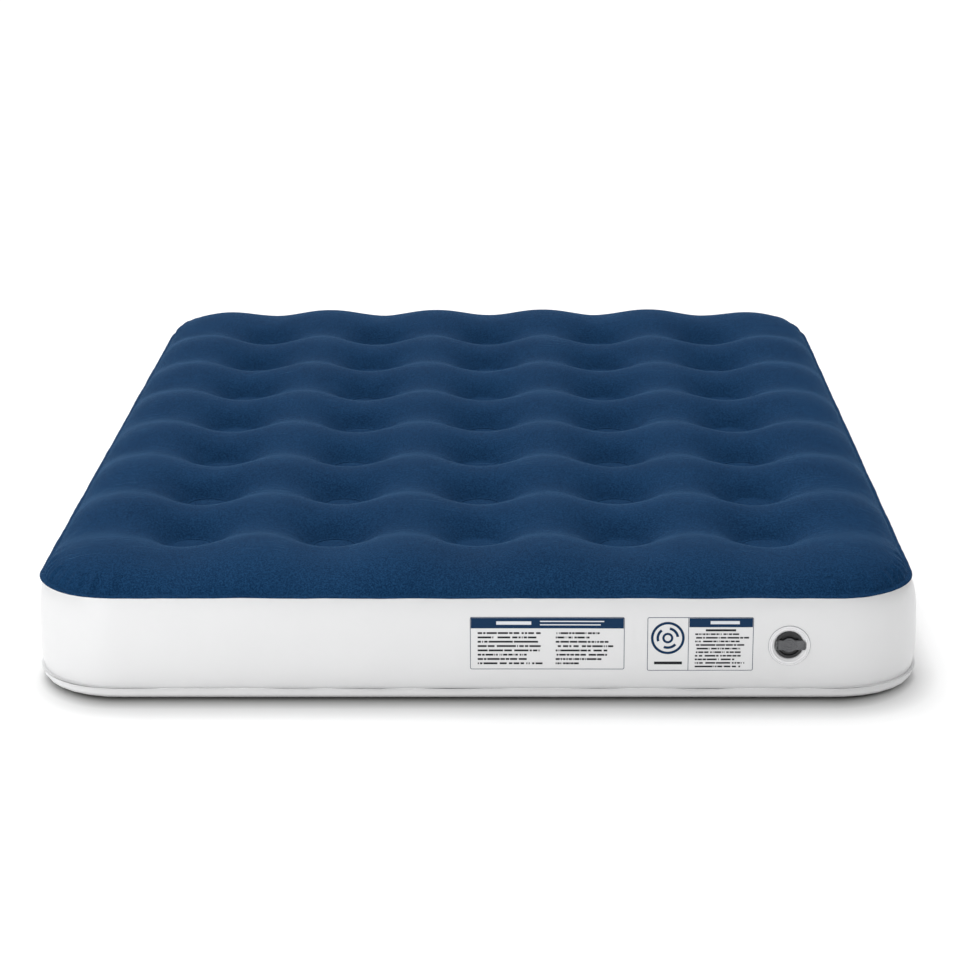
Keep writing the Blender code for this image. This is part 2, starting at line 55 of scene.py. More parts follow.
# the frame's own measures
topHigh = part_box("top_sheet")[1]
wallLow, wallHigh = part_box("side_wall")
beamBoxes = [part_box(name) for name in sorted(frame["nodes"]) if name.startswith("coil_beam")]
beamSpots = [(low + high) / 2 for low, high in beamBoxes]
columnCount = len({round(spot.x, 3) for spot in beamSpots})
rowCount = len({round(spot.y, 3) for spot in beamSpots})
pitchX = (beamSpots[-1].x - beamSpots[0].x) / (columnCount - 1)
pitchY = (beamSpots[-1].y - beamSpots[0].y) / (rowCount - 1)
columnsX = [(k - (columnCount - 1) / 2) * pitchX for k in range(columnCount)]
rowsY = [(k - (rowCount - 1) / 2) * pitchY for k in range(rowCount)]
dimples = [Vector((x, y)) for y in rowsY for x in columnsX]
discRadius = (beamBoxes[0][1].x - beamBoxes[0][0].x) / 2
turnJoint = next(joint for joint in frame["joints"] if joint["name"] == "insert_turn")
valveSpot = Vector(turnJoint["pos_m"])

seam = {
    "flange": 0.006,  # width of the weld band
    "corner": 0.14,  # plan radius of the corners
    "skin": 0.0005,  # from a sheet's weld face to the wall's
}
seam["halfX"] = topHigh.x - seam["flange"]
seam["halfY"] = topHigh.y - seam["flange"]
seam["topZ"] = wallHigh.z + seam["skin"]
seam["bottomZ"] = wallLow.z - seam["skin"]


def addObject(name, mesh, body=None):
    obj = bpy.data.objects.new(name, mesh)
    bpy.context.scene.collection.objects.link(obj)
    if body:
        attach(obj, body)
    return obj


def applyModifiers(obj):
    bpy.context.view_layer.update()
    evaluated = obj.evaluated_get(bpy.context.evaluated_depsgraph_get())
    mesh = bpy.data.meshes.new_from_object(evaluated)
    obj.modifiers.clear()
    old = obj.data
    obj.data = mesh
    bpy.data.meshes.remove(old)
    return obj


def subdivide(obj, levels):
    modifier = obj.modifiers.new("Subdivision", "SUBSURF")
    modifier.levels = modifier.render_levels = levels
    return applyModifiers(obj)


def smooth(mesh, degrees=180):
    mesh.shade_smooth()
    if degrees < 180:
        mesh.set_sharp_from_angle(angle=math.radians(degrees))
    return mesh


def meshFrom(bm, name):
    mesh = bpy.data.meshes.new(name)
    bm.to_mesh(mesh)
    bm.free()
    return mesh


def openMesh(mesh):
    bm = bmesh.new()
    bm.from_mesh(mesh)
    return bm


def closeMesh(bm, mesh):
    bm.to_mesh(mesh)
    bm.free()


def bridge(bm, inner, outer):  # quads between two closed rings of equal length
    for i in range(len(inner)):
        j = (i + 1) % len(inner)
        bm.faces.new((inner[i], outer[i], outer[j], inner[j]))


def readPoints(mesh):
    points = np.empty(len(mesh.vertices) * 3)
    mesh.vertices.foreach_get("co", points)
    return points.reshape(-1, 3)


def writePoints(mesh, points):
    mesh.vertices.foreach_set("co", points.astype(np.float32).ravel())
    mesh.update()


def ripple(points, scale, seed):  # smooth noise in -1..1 at each point
    return np.array([noise.noise(Vector((x * scale, y * scale, z * scale + seed))) for x, y, z in points])


def ease(value, low, high):
    t = np.clip((value - low) / (high - low), 0, 1)
    return t * t * (3 - 2 * t)


def seamFoot(points):  # nearest point of the seam outline, its outward normal and how far inside the point is
    place = points[:, :2]
    side = np.where(place >= 0, 1.0, -1.0)
    half = np.array([seam["halfX"], seam["halfY"]])
    core = half - seam["corner"]
    past = np.abs(place) - core
    inCorner = (past > 0).all(axis=1)
    length = np.maximum(np.linalg.norm(past, axis=1), 1e-9)[:, None]
    nearX = (half[0] - np.abs(place[:, 0])) < (half[1] - np.abs(place[:, 1]))
    straight = np.where(nearX[:, None], [1.0, 0.0], [0.0, 1.0]) * side
    normal = np.where(inCorner[:, None], past / length * side, straight)
    footStraight = np.where(nearX[:, None], np.stack([half[0] * side[:, 0], place[:, 1]], 1),
                            np.stack([place[:, 0], half[1] * side[:, 1]], 1))
    footCorner = core * side + normal * seam["corner"]
    foot = np.where(inCorner[:, None], footCorner, footStraight)
    inside = ((foot - place) * normal).sum(axis=1)
    return foot, normal, inside


def seamLoop(segmentsX, segmentsY):  # (place, outward normal) round the seam, each side from mid-corner to mid-corner
    loop = []
    radius = seam["corner"]
    sides = [
        (Vector((1, 0)), Vector((0, -1)), seam["halfX"], seam["halfY"], segmentsX),
        (Vector((0, 1)), Vector((1, 0)), seam["halfY"], seam["halfX"], segmentsY),
        (Vector((-1, 0)), Vector((0, 1)), seam["halfX"], seam["halfY"], segmentsX),
        (Vector((0, -1)), Vector((-1, 0)), seam["halfY"], seam["halfX"], segmentsY),
    ]
    for along, out, halfAlong, halfOut, segments in sides:
        arc = radius * math.pi / 4
        run = 2 * (halfAlong - radius)
        for i in range(segments):
            s = (run + 2 * arc) * i / segments
            if s < arc:
                angle, shift = s / radius - math.pi / 4, -(halfAlong - radius)
            elif s > run + arc:
                angle, shift = (s - run - arc) / radius, halfAlong - radius
            else:
                angle, shift = 0.0, s - arc - (halfAlong - radius)
            normal = out * math.cos(angle) + along * math.sin(angle)
            loop.append((along * shift + out * (halfOut - radius) + normal * radius, normal))
    return loop


# quilted sheets: a round patch at each weld disc, and a border out to the seam
quilt = {
    "cellSide": 10,  # segments along one side of a patch
    "discRings": 2,
    "slopeRings": 9,
    "borderRings": 12,
    "crowd": 1.3,  # rings stand closer at the discs, and closer still at the seam
    "seamCrowd": 1.8,
}


def rectangleRun(halfX, halfY, segmentsX, segmentsY):
    corners = [Vector((-halfX, -halfY)), Vector((halfX, -halfY)), Vector((halfX, halfY)), Vector((-halfX, halfY))]
    run = []
    for k, segments in enumerate((segmentsX, segmentsY, segmentsX, segmentsY)):
        for i in range(segments):
            run.append(corners[k].lerp(corners[(k + 1) % 4], i / segments))
    return run


def quiltedMesh(name):  # flat, with its discs and border laid out
    bm = bmesh.new()
    rim = rectangleRun(pitchX / 2, pitchY / 2, quilt["cellSide"], quilt["cellSide"])
    count = len(rim)
    for centre in dimples:
        rings = [[bm.verts.new((*centre, 0))]]
        for k in range(1, quilt["discRings"] + 1):
            radius = discRadius * k / quilt["discRings"]
            rings.append([bm.verts.new((*(centre + spot.normalized() * radius), 0)) for spot in rim])
        for k in range(1, quilt["slopeRings"] + 1):
            reach = (k / quilt["slopeRings"]) ** quilt["crowd"]
            places = [centre + (spot.normalized() * discRadius).lerp(spot, reach) for spot in rim]
            rings.append([bm.verts.new((*place, 0)) for place in places])
        for i in range(count):
            bm.faces.new((rings[0][0], rings[1][i], rings[1][(i + 1) % count]))
        for inner, outer in zip(rings[1:], rings[2:]):
            bridge(bm, inner, outer)
    segmentsX = quilt["cellSide"] * columnCount
    segmentsY = quilt["cellSide"] * rowCount
    inside = rectangleRun(pitchX * columnCount / 2, pitchY * rowCount / 2, segmentsX, segmentsY)
    outside = [place for place, _ in seamLoop(segmentsX, segmentsY)]
    rows = []
    for k in range(quilt["borderRings"] + 1):
        t = 1 - (1 - k / quilt["borderRings"]) ** quilt["seamCrowd"]
        rows.append([bm.verts.new((*near.lerp(far, t), 0)) for near, far in zip(inside, outside)])
    for inner, outer in zip(rows, rows[1:]):
        bridge(bm, inner, outer)
    bmesh.ops.remove_doubles(bm, verts=bm.verts, dist=1e-5)
    return meshFrom(bm, name)


def inflate(obj, pinned, pressure, frames, cap):
    # a short cloth run evens the tension, and no point may move further than the cap
    before = readPoints(obj.data)
    group = obj.vertex_groups.new(name="welded")
    group.add([int(i) for i in np.flatnonzero(pinned)], 1.0, "REPLACE")
    modifier = obj.modifiers.new("Inflate", "CLOTH")
    cloth = modifier.settings
    cloth.quality = 5
    cloth.mass = 0.3
    cloth.tension_stiffness = cloth.compression_stiffness = 25
    cloth.shear_stiffness = 12
    cloth.bending_stiffness = 0.6
    cloth.air_damping = 4
    cloth.use_pressure = True
    cloth.uniform_pressure_force = pressure
    cloth.vertex_group_mass = "welded"
    cloth.effector_weights.gravity = 0
    modifier.collision_settings.use_collision = False
    for step in range(1, frames + 1):
        bpy.context.scene.frame_set(step)
    applyModifiers(obj)
    bpy.context.scene.frame_set(1)
    after = readPoints(obj.data)
    move = after - before
    length = np.maximum(np.linalg.norm(move, axis=1), 1e-9)
    writePoints(obj.data, before + move * np.minimum(1, cap / length)[:, None])
    obj.vertex_groups.clear()
    print(obj.name, "inflated, mean move mm", round(float(length.mean() * 1000), 2),
          "most", round(float(length.max() * 1000), 2))


topSheet = {
    "discRise": 0.0035,  # heights above the seam: weld discs, the edge, between two discs, between four
    "edgeRise": 0.0035,
    "saddle": 0.0368,
    "crest": 0.0545,
    "narrow": 1.12,  # the higher, the broader the ridges and the narrower the bowls
    "roll": 0.13,  # how far in from the seam the border curves over
    "slope": 0.048,  # the skin leaves a disc steeply over this distance
    "cornerDrop": 0.12,
    "cornerRun": 0.42,
    "pressure": 9,
    "frames": 15,
    "cap": 0.003,
    "slack": 0.06,
}


def nearestDisc(points):
    return np.min([np.hypot(points[:, 0] - spot.x, points[:, 1] - spot.y) for spot in dimples], axis=0)


def quiltHeights(points):  # rounded ridges between the discs, falling to each disc and to the seam
    edgeX, edgeY = pitchX * columnCount / 2, pitchY * rowCount / 2
    u, v = (2 * (0.5 + np.cos(math.tau * np.clip(place, -edge, edge) / pitch) / 2) ** topSheet["narrow"] - 1
            for place, edge, pitch in ((points[:, 0], edgeX, pitchX), (points[:, 1], edgeY, pitchY)))
    single = (topSheet["crest"] - topSheet["discRise"]) / 4
    cross = (topSheet["crest"] + topSheet["discRise"] - 2 * topSheet["saddle"]) / 4
    ridge = topSheet["saddle"] + cross - single * (u + v) + cross * u * v
    _, _, depth = seamFoot(points)
    inward = np.clip(depth / topSheet["roll"], 0, 1)
    fromCorner = np.hypot(seam["halfX"] - np.abs(points[:, 0]), seam["halfY"] - np.abs(points[:, 1]))
    ridge *= 1 - topSheet["cornerDrop"] * (1 - ease(fromCorner, 0.08, topSheet["cornerRun"]))
    heights = topSheet["edgeRise"] + (ridge - topSheet["edgeRise"]) * np.sqrt(1 - (1 - inward) ** 2)
    nearest = nearestDisc(points)
    away = np.clip((nearest - discRadius) / topSheet["slope"], 0, 1)
    return topSheet["discRise"] + (heights - topSheet["discRise"]) * (1 - (1 - away) ** 3), nearest


def makeTop():
    mesh = quiltedMesh("quilted_top")
    points = readPoints(mesh)
    heights, nearest = quiltHeights(points)
    points[:, 2] = seam["topZ"] + heights
    writePoints(mesh, points)
    _, _, depth = seamFoot(points)
    pinned = (depth < 1e-4) | (nearest < discRadius + 1e-4)
    onRim = np.abs(nearest - discRadius) < 1e-4
    ends = np.empty(len(mesh.edges) * 2, np.int32)
    mesh.edges.foreach_get("vertices", ends)
    tight = onRim[ends.reshape(-1, 2)].all(axis=1).astype(np.float32)
    mesh.attributes.new("crease_edge", "FLOAT", "EDGE").data.foreach_set("value", tight)
    obj = addObject("quilted_top", mesh)
    print("top skin laid, crest", round(float(points[:, 2].max()), 4))
    inflate(obj, pinned, topSheet["pressure"], topSheet["frames"], topSheet["cap"])
    return subdivide(obj, 1)


def refineBorder(obj, rings, cuts):  # finer steps along the seam, for the small folds there
    bm = openMesh(obj.data)
    ring = [edge for edge in bm.edges if edge.is_boundary]
    chosen = list(ring)
    seen = set()
    for _ in range(rings):
        following = []
        for edge in ring:
            for face in edge.link_faces:
                if face in seen:
                    continue
                seen.add(face)
                following += [other for other in face.edges if not set(other.verts) & set(edge.verts)]
        chosen += following
        ring = following
    bmesh.ops.subdivide_edges(bm, edges=list(dict.fromkeys(chosen)), cuts=cuts, use_grid_fill=True)
    closeMesh(bm, obj.data)


band = {  # each section is (out, up) steps from the seam line
    "wave": 0.0014,
    "topSway": ((9, 3.1), (38, 8.7), 0.45),  # long waves, short waves and the share of the short ones
    "lowSway": ((11, 12.3), (45, 2.2), 0.4),
    "top": [(0.0006, -0.0004), (0.0035, -0.0008), (0.0062, -0.0017), (0.0076, -0.0029), (0.0078, -0.0040),
            (0.0068, -0.0041), (0.0015, -0.0022)],
    "wallTop": [(0.0064, -0.0010), (0.0061, -0.0018), (0.0046, -0.0012), (0.0018, -0.0003), (0.0015, -0.0014)],
    "wallBottom": [(0.0012, 0.0022), (0.0042, 0.0028), (0.0064, 0.0033), (0.0070, 0.0028), (0.0060, 0.0022)],
    "bottom": [(0.0006, 0.0004), (0.0045, 0.0008), (0.0066, 0.0010), (0.0072, 0.0016), (0.0064, 0.0020)],
}


def bandSway(foot, long, short, share):  # small waves along a weld band, from noise of a (scale, seed)
    flat = np.column_stack([foot, np.zeros(len(foot))])
    return ripple(flat, *long) * band["wave"] + ripple(flat, *short) * band["wave"] * share


def addBand(obj, section, widen=None):  # carries the sheet's open edge outwards through (out, up) steps
    bm = openMesh(obj.data)
    edges = [edge for edge in bm.edges if edge.is_boundary]
    base = list({vert for edge in edges for vert in edge.verts})
    spots = np.array([vert.co[:] for vert in base])
    foot, normal, _ = seamFoot(spots)
    sway = bandSway(foot, *band["topSway"])
    wide = widen(foot) if widen else np.zeros(len(foot))
    for k, (out, up) in enumerate(section):
        made = bmesh.ops.extrude_edge_only(bm, edges=edges)["geom"]
        edges = [item for item in made if isinstance(item, bmesh.types.BMEdge) and item.is_boundary]
        verts = list({vert for edge in edges for vert in edge.verts})
        place = np.array([vert.co[:] for vert in verts])
        # each new vertex lies over the base vertex that it came from
        order = {(round(x, 6), round(y, 6)): i for i, (x, y, z) in enumerate(spots)}
        if k == 0:
            index = [order[round(x, 6), round(y, 6)] for x, y, z in place]
            source = dict(zip(verts, index))
        else:
            source = {vert: source[mate] for vert in verts for edge in vert.link_edges
                      for mate in [edge.other_vert(vert)] if mate in source and vert not in source}
        share = min(1, (k + 1) / 2)
        for vert in verts:
            i = source[vert]
            shift = sway[i] * share
            vert.co = (*(foot[i] + normal[i] * (wide[i] + out + shift * 0.4)), spots[i][2] + up + shift)
    closeMesh(bm, obj.data)


folds = {
    "cornerDepth": 0.0060,  # small folds where the weld draws the flock in round a corner
    "sideDepth": 0.00025,
    "reach": 0.028,
    "cornerRun": 0.26,
    "dimpleDepth": 0.0013,  # short radial folds above the weld discs
    "dimpleReach": 0.05,
    "sag": 0.0022,
    "rimReach": 0.007,  # how far past a beam's rim the top sheet must stay above it
    "rimGap": 0.0007,
}


def crease(obj, facing):
    mesh = obj.data
    points = readPoints(mesh)
    normals = np.array([vert.normal[:] for vert in mesh.vertices])
    foot, _, depth = seamFoot(points)
    flatFoot = np.column_stack([foot, np.zeros(len(foot))])
    halves = np.array([seam["halfX"], seam["halfY"]])
    fromCorner = np.linalg.norm(np.maximum(halves - np.abs(foot), 0), axis=1)
    strength = folds["sideDepth"] + (folds["cornerDepth"] - folds["sideDepth"]) * (
        1 - ease(fromCorner, 0.07, folds["cornerRun"]))
    window = np.exp(-((depth - 0.006) / folds["reach"]) ** 2) * ease(depth, 0, 0.004)
    lift = ripple(flatFoot, 85, 1.7) * strength * window
    lift += ripple(points, 5, 5.2) * folds["sag"] * ease(depth, 0, 0.05)
    for number, spot in enumerate(dimples):
        away = points[:, :2] - np.array(spot)
        far = np.linalg.norm(away, axis=1)
        close = np.flatnonzero((far > discRadius) & (far < discRadius + folds["dimpleReach"]))
        if not len(close):
            continue
        turn = away[close] / far[close][:, None] * 3.4
        t = (far[close] - discRadius) / folds["dimpleReach"]
        wave = ripple(np.column_stack([turn, np.full(len(close), number * 3.7)]), 1, 0)
        size = folds["dimpleDepth"] * (0.4 + 1.2 * abs(math.sin(number * 2.3)))
        lift[close] += wave * size * np.sin(math.pi * t) ** 1.5
    writePoints(mesh, points + normals * lift[:, None] * facing)


def clearBeams(obj):  # keeps the sheet above the rims of the beams welded under it
    points = readPoints(obj.data)
    for low, high in beamBoxes:
        spot = (low + high) / 2
        over = np.hypot(points[:, 0] - spot.x, points[:, 1] - spot.y) < discRadius + folds["rimReach"]
        raised = over & (points[:, 2] < high.z + folds["rimGap"])
        points[raised, 2] = high.z + folds["rimGap"]
        if raised.any():
            print("raised", int(raised.sum()), "points over the beam at", round(spot.x, 3), round(spot.y, 3))
    writePoints(obj.data, points)


wallSheet = {
    "bulge": wallHigh.x - seam["halfX"],
    "flare": 0.006,  # the bottom seam stands this much further out than the top one
    "lean": 0.007,  # the right side bulges this much more
    "square": 4,  # the higher, the flatter the wall and the tighter its edges
    "rows": 22,
    "stepsX": 96,
    "stepsY": 128,
    "ripple": 0.0011,
    "calm": 0.05,  # how far round the valve the wall stays flat
    "crowd": 0.64,  # the rows stand closer at the seams
    "hole": 0.0318,  # radius of the cut for the valve
    "cutHeight": 0.19,
}


def flareAt(foot):  # how far the bottom seam stands outside the top one
    right = ease(foot[:, 0], seam["halfX"] - seam["corner"], seam["halfX"])
    return wallSheet["flare"] + wallSheet["lean"] * right


def wallOut(foot, z):  # how far the wall stands outside the seam outline
    v = np.clip((z - seam["bottomZ"]) / (seam["topZ"] - seam["bottomZ"]), 0, 1)
    across = 1 - np.abs(2 * v - 1) ** wallSheet["square"]
    place = np.column_stack([foot, z])
    nearValve = np.hypot(place[:, 0] - valveSpot.x, place[:, 2] - valveSpot.z)
    nearValve = np.where(place[:, 1] < 0, nearValve, 1)
    calm = ease(nearValve, wallSheet["calm"] * 0.8, wallSheet["calm"] * 1.8)
    across = across * calm + 1 - calm
    soft = ripple(place, 4.5, 2.4) * 0.8 + ripple(place * np.array([1, 1, 0.35]), 14, 6.6) * 0.35
    edge = np.minimum(v, 1 - v)
    gather = ripple(place * np.array([1, 1, 0.1]), 60, 4.4) * np.exp(-edge / 0.07) * 0.5
    fade = ease(edge, 0, 0.05)
    bulge = wallSheet["bulge"] + (flareAt(foot) - wallSheet["flare"]) * v
    waves = wallSheet["ripple"] * (soft - 0.4 + gather) * calm * fade
    return flareAt(foot) * (1 - v) * calm + bulge * across + waves


def makeWall():
    loop = seamLoop(wallSheet["stepsX"], wallSheet["stepsY"])
    foot = np.array([place[:] for place, _ in loop])
    normal = np.array([out[:] for _, out in loop])
    sway = bandSway(foot, *band["topSway"])
    lowSway = bandSway(foot, *band["lowSway"])
    levels = []
    for out, up in band["wallTop"]:
        levels.append((foot + normal * (out + sway[:, None] * 0.4), seam["topZ"] + up + sway))
    high = seam["topZ"] + band["wallTop"][-1][1]
    low = seam["bottomZ"] + band["wallBottom"][0][1]
    for k in range(wallSheet["rows"] + 1):
        t = k / wallSheet["rows"]
        drop = t - wallSheet["crowd"] * math.sin(math.tau * t) / math.tau
        z = high + (low - high) * drop
        heights = np.full(len(foot), z) + sway * (1 - ease(t, 0, 0.12)) + lowSway * ease(t, 0.88, 1)
        levels.append((foot + normal * wallOut(foot, heights)[:, None], heights))
    for out, up in band["wallBottom"]:
        levels.append((foot + normal * (flareAt(foot) + out + lowSway * 0.4)[:, None],
                       seam["bottomZ"] + up + lowSway))
    bm = bmesh.new()
    rows = [[bm.verts.new((x, y, z)) for (x, y), z in zip(place, height)] for place, height in levels]
    for upper, lower in zip(rows, rows[1:]):
        bridge(bm, upper, lower)
    obj = subdivide(addObject("side_skin", meshFrom(bm, "side_skin")), 1)
    hole, deep = wallSheet["hole"], 0.02
    profile = [(0, -deep), (hole, -deep), (hole, deep), (0, deep)]
    cutter = addObject("valve_cutter", turnedMesh("valve_cutter", profile))
    cutter.data.transform(valveMatrix)
    cut = obj.modifiers.new("Hole", "BOOLEAN")
    cut.operation = "DIFFERENCE"
    cut.solver = "EXACT"
    cut.object = cutter
    applyModifiers(obj)
    bpy.data.objects.remove(cutter, do_unlink=True)
    return obj


valveMatrix = Matrix.Translation(valveSpot) @ Matrix.Rotation(math.pi / 2, 4, "X")


def turnedMesh(name, profile, steps=96):
    bm = bmesh.new()
    points = [bm.verts.new((radius, 0, height)) for radius, height in profile]
    closed = profile[0][0] > 0 or profile[-1][0] > 0
    pairs = list(zip(points, points[1:] + points[:1] if closed else points[1:]))
    edges = [bm.edges.new(pair) for pair in pairs]
    bmesh.ops.spin(bm, geom=points + edges, axis=(0, 0, 1), angle=math.tau, steps=steps, use_merge=True)
    bmesh.ops.remove_doubles(bm, verts=bm.verts, dist=1e-6)
    bmesh.ops.recalc_face_normals(bm, faces=bm.faces)
    return meshFrom(bm, name)


def soften(obj, width, segments=2, degrees=25):  # rounds a moulded piece's edges
    modifier = obj.modifiers.new("Edges", "BEVEL")
    modifier.width = width
    modifier.segments = segments
    modifier.limit_method = "ANGLE"
    modifier.angle_limit = math.radians(degrees)
    return applyModifiers(obj)


def joinMeshes(name, meshes):
    bm = bmesh.new()
    for mesh in meshes:
        bm.from_mesh(mesh)
        bpy.data.meshes.remove(mesh)
    return meshFrom(bm, name)


def valvePart(name, meshes, body, nodes, edge=0.0002):
    obj = addObject(name, joinMeshes(name, meshes))
    soften(obj, edge)
    obj.data.transform(valveMatrix)
    smooth(obj.data, 42)
    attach(obj, body)
    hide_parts(*nodes)
    return obj


def slab(name, outline, low, high, axis="Z"):  # an outline's (x, y) points raised from low to high
    bm = bmesh.new()
    face = bm.faces.new([bm.verts.new((x, y, low)) for x, y in outline])
    made = bmesh.ops.extrude_face_region(bm, geom=[face])["geom"]
    bmesh.ops.translate(bm, verts=[v for v in made if isinstance(v, bmesh.types.BMVert)], vec=(0, 0, high - low))
    if axis == "Y":  # (x, y) become (x, z), and the slab runs along Y
        bmesh.ops.transform(bm, matrix=Matrix.Rotation(math.pi / 2, 4, "X"), verts=bm.verts)
    bmesh.ops.recalc_face_normals(bm, faces=bm.faces)
    return meshFrom(bm, name)


def ringOf(name, inner, outer, low, high):
    return turnedMesh(name, [(outer, low), (outer, high), (inner, high), (inner, low)])


def threadMesh(name, root, crest, low, high, pitch, phase):
    bm = bmesh.new()
    steps = 64
    wide, narrow = 0.0009, 0.0005
    sections = []
    for step in range(int((high - low) / pitch * steps) + 1):
        angle = math.tau * (step / steps + phase)
        height = low + pitch * step / steps
        section = [(root, -wide), (crest, -narrow), (crest, narrow), (root, wide)]
        sections.append([bm.verts.new((r * math.cos(angle), r * math.sin(angle), height + dz))
                         for r, dz in section])
    for lower, upper in zip(sections, sections[1:]):
        bridge(bm, upper, lower)
    bm.faces.new(sections[0])
    bm.faces.new(sections[-1])
    bmesh.ops.recalc_face_normals(bm, faces=bm.faces)
    return meshFrom(bm, name)


def localBox(node):  # a node's box in the valve's own frame: X right, Y up, Z out of the wall
    low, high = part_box(node)
    turn = valveMatrix.inverted()
    ends = [turn @ low, turn @ high]
    return Vector(map(min, *ends)), Vector(map(max, *ends))


valve = {  # radii and heights from the valve's middle on the wall's face
    "bore": 0.0226,
    "funnel": 0.0293,
    "face": 0.0015,
    "ledge": -0.006,
    "lip": -0.003,
    "inner": 0.0195,
    "dish": -0.008,
    "nozzle": 0.0093,
    "seat": -0.019,
    "threadLow": -0.0172,
    "threadHigh": -0.0074,
    "threadPitch": 0.0045,
    "strapFoot": -0.0027,
    "strapThick": 0.0012,
    "tabLength": 0.0068,
    "plug": 0.0090,
    "notches": 20,
    "lugRound": 0.0022,
}


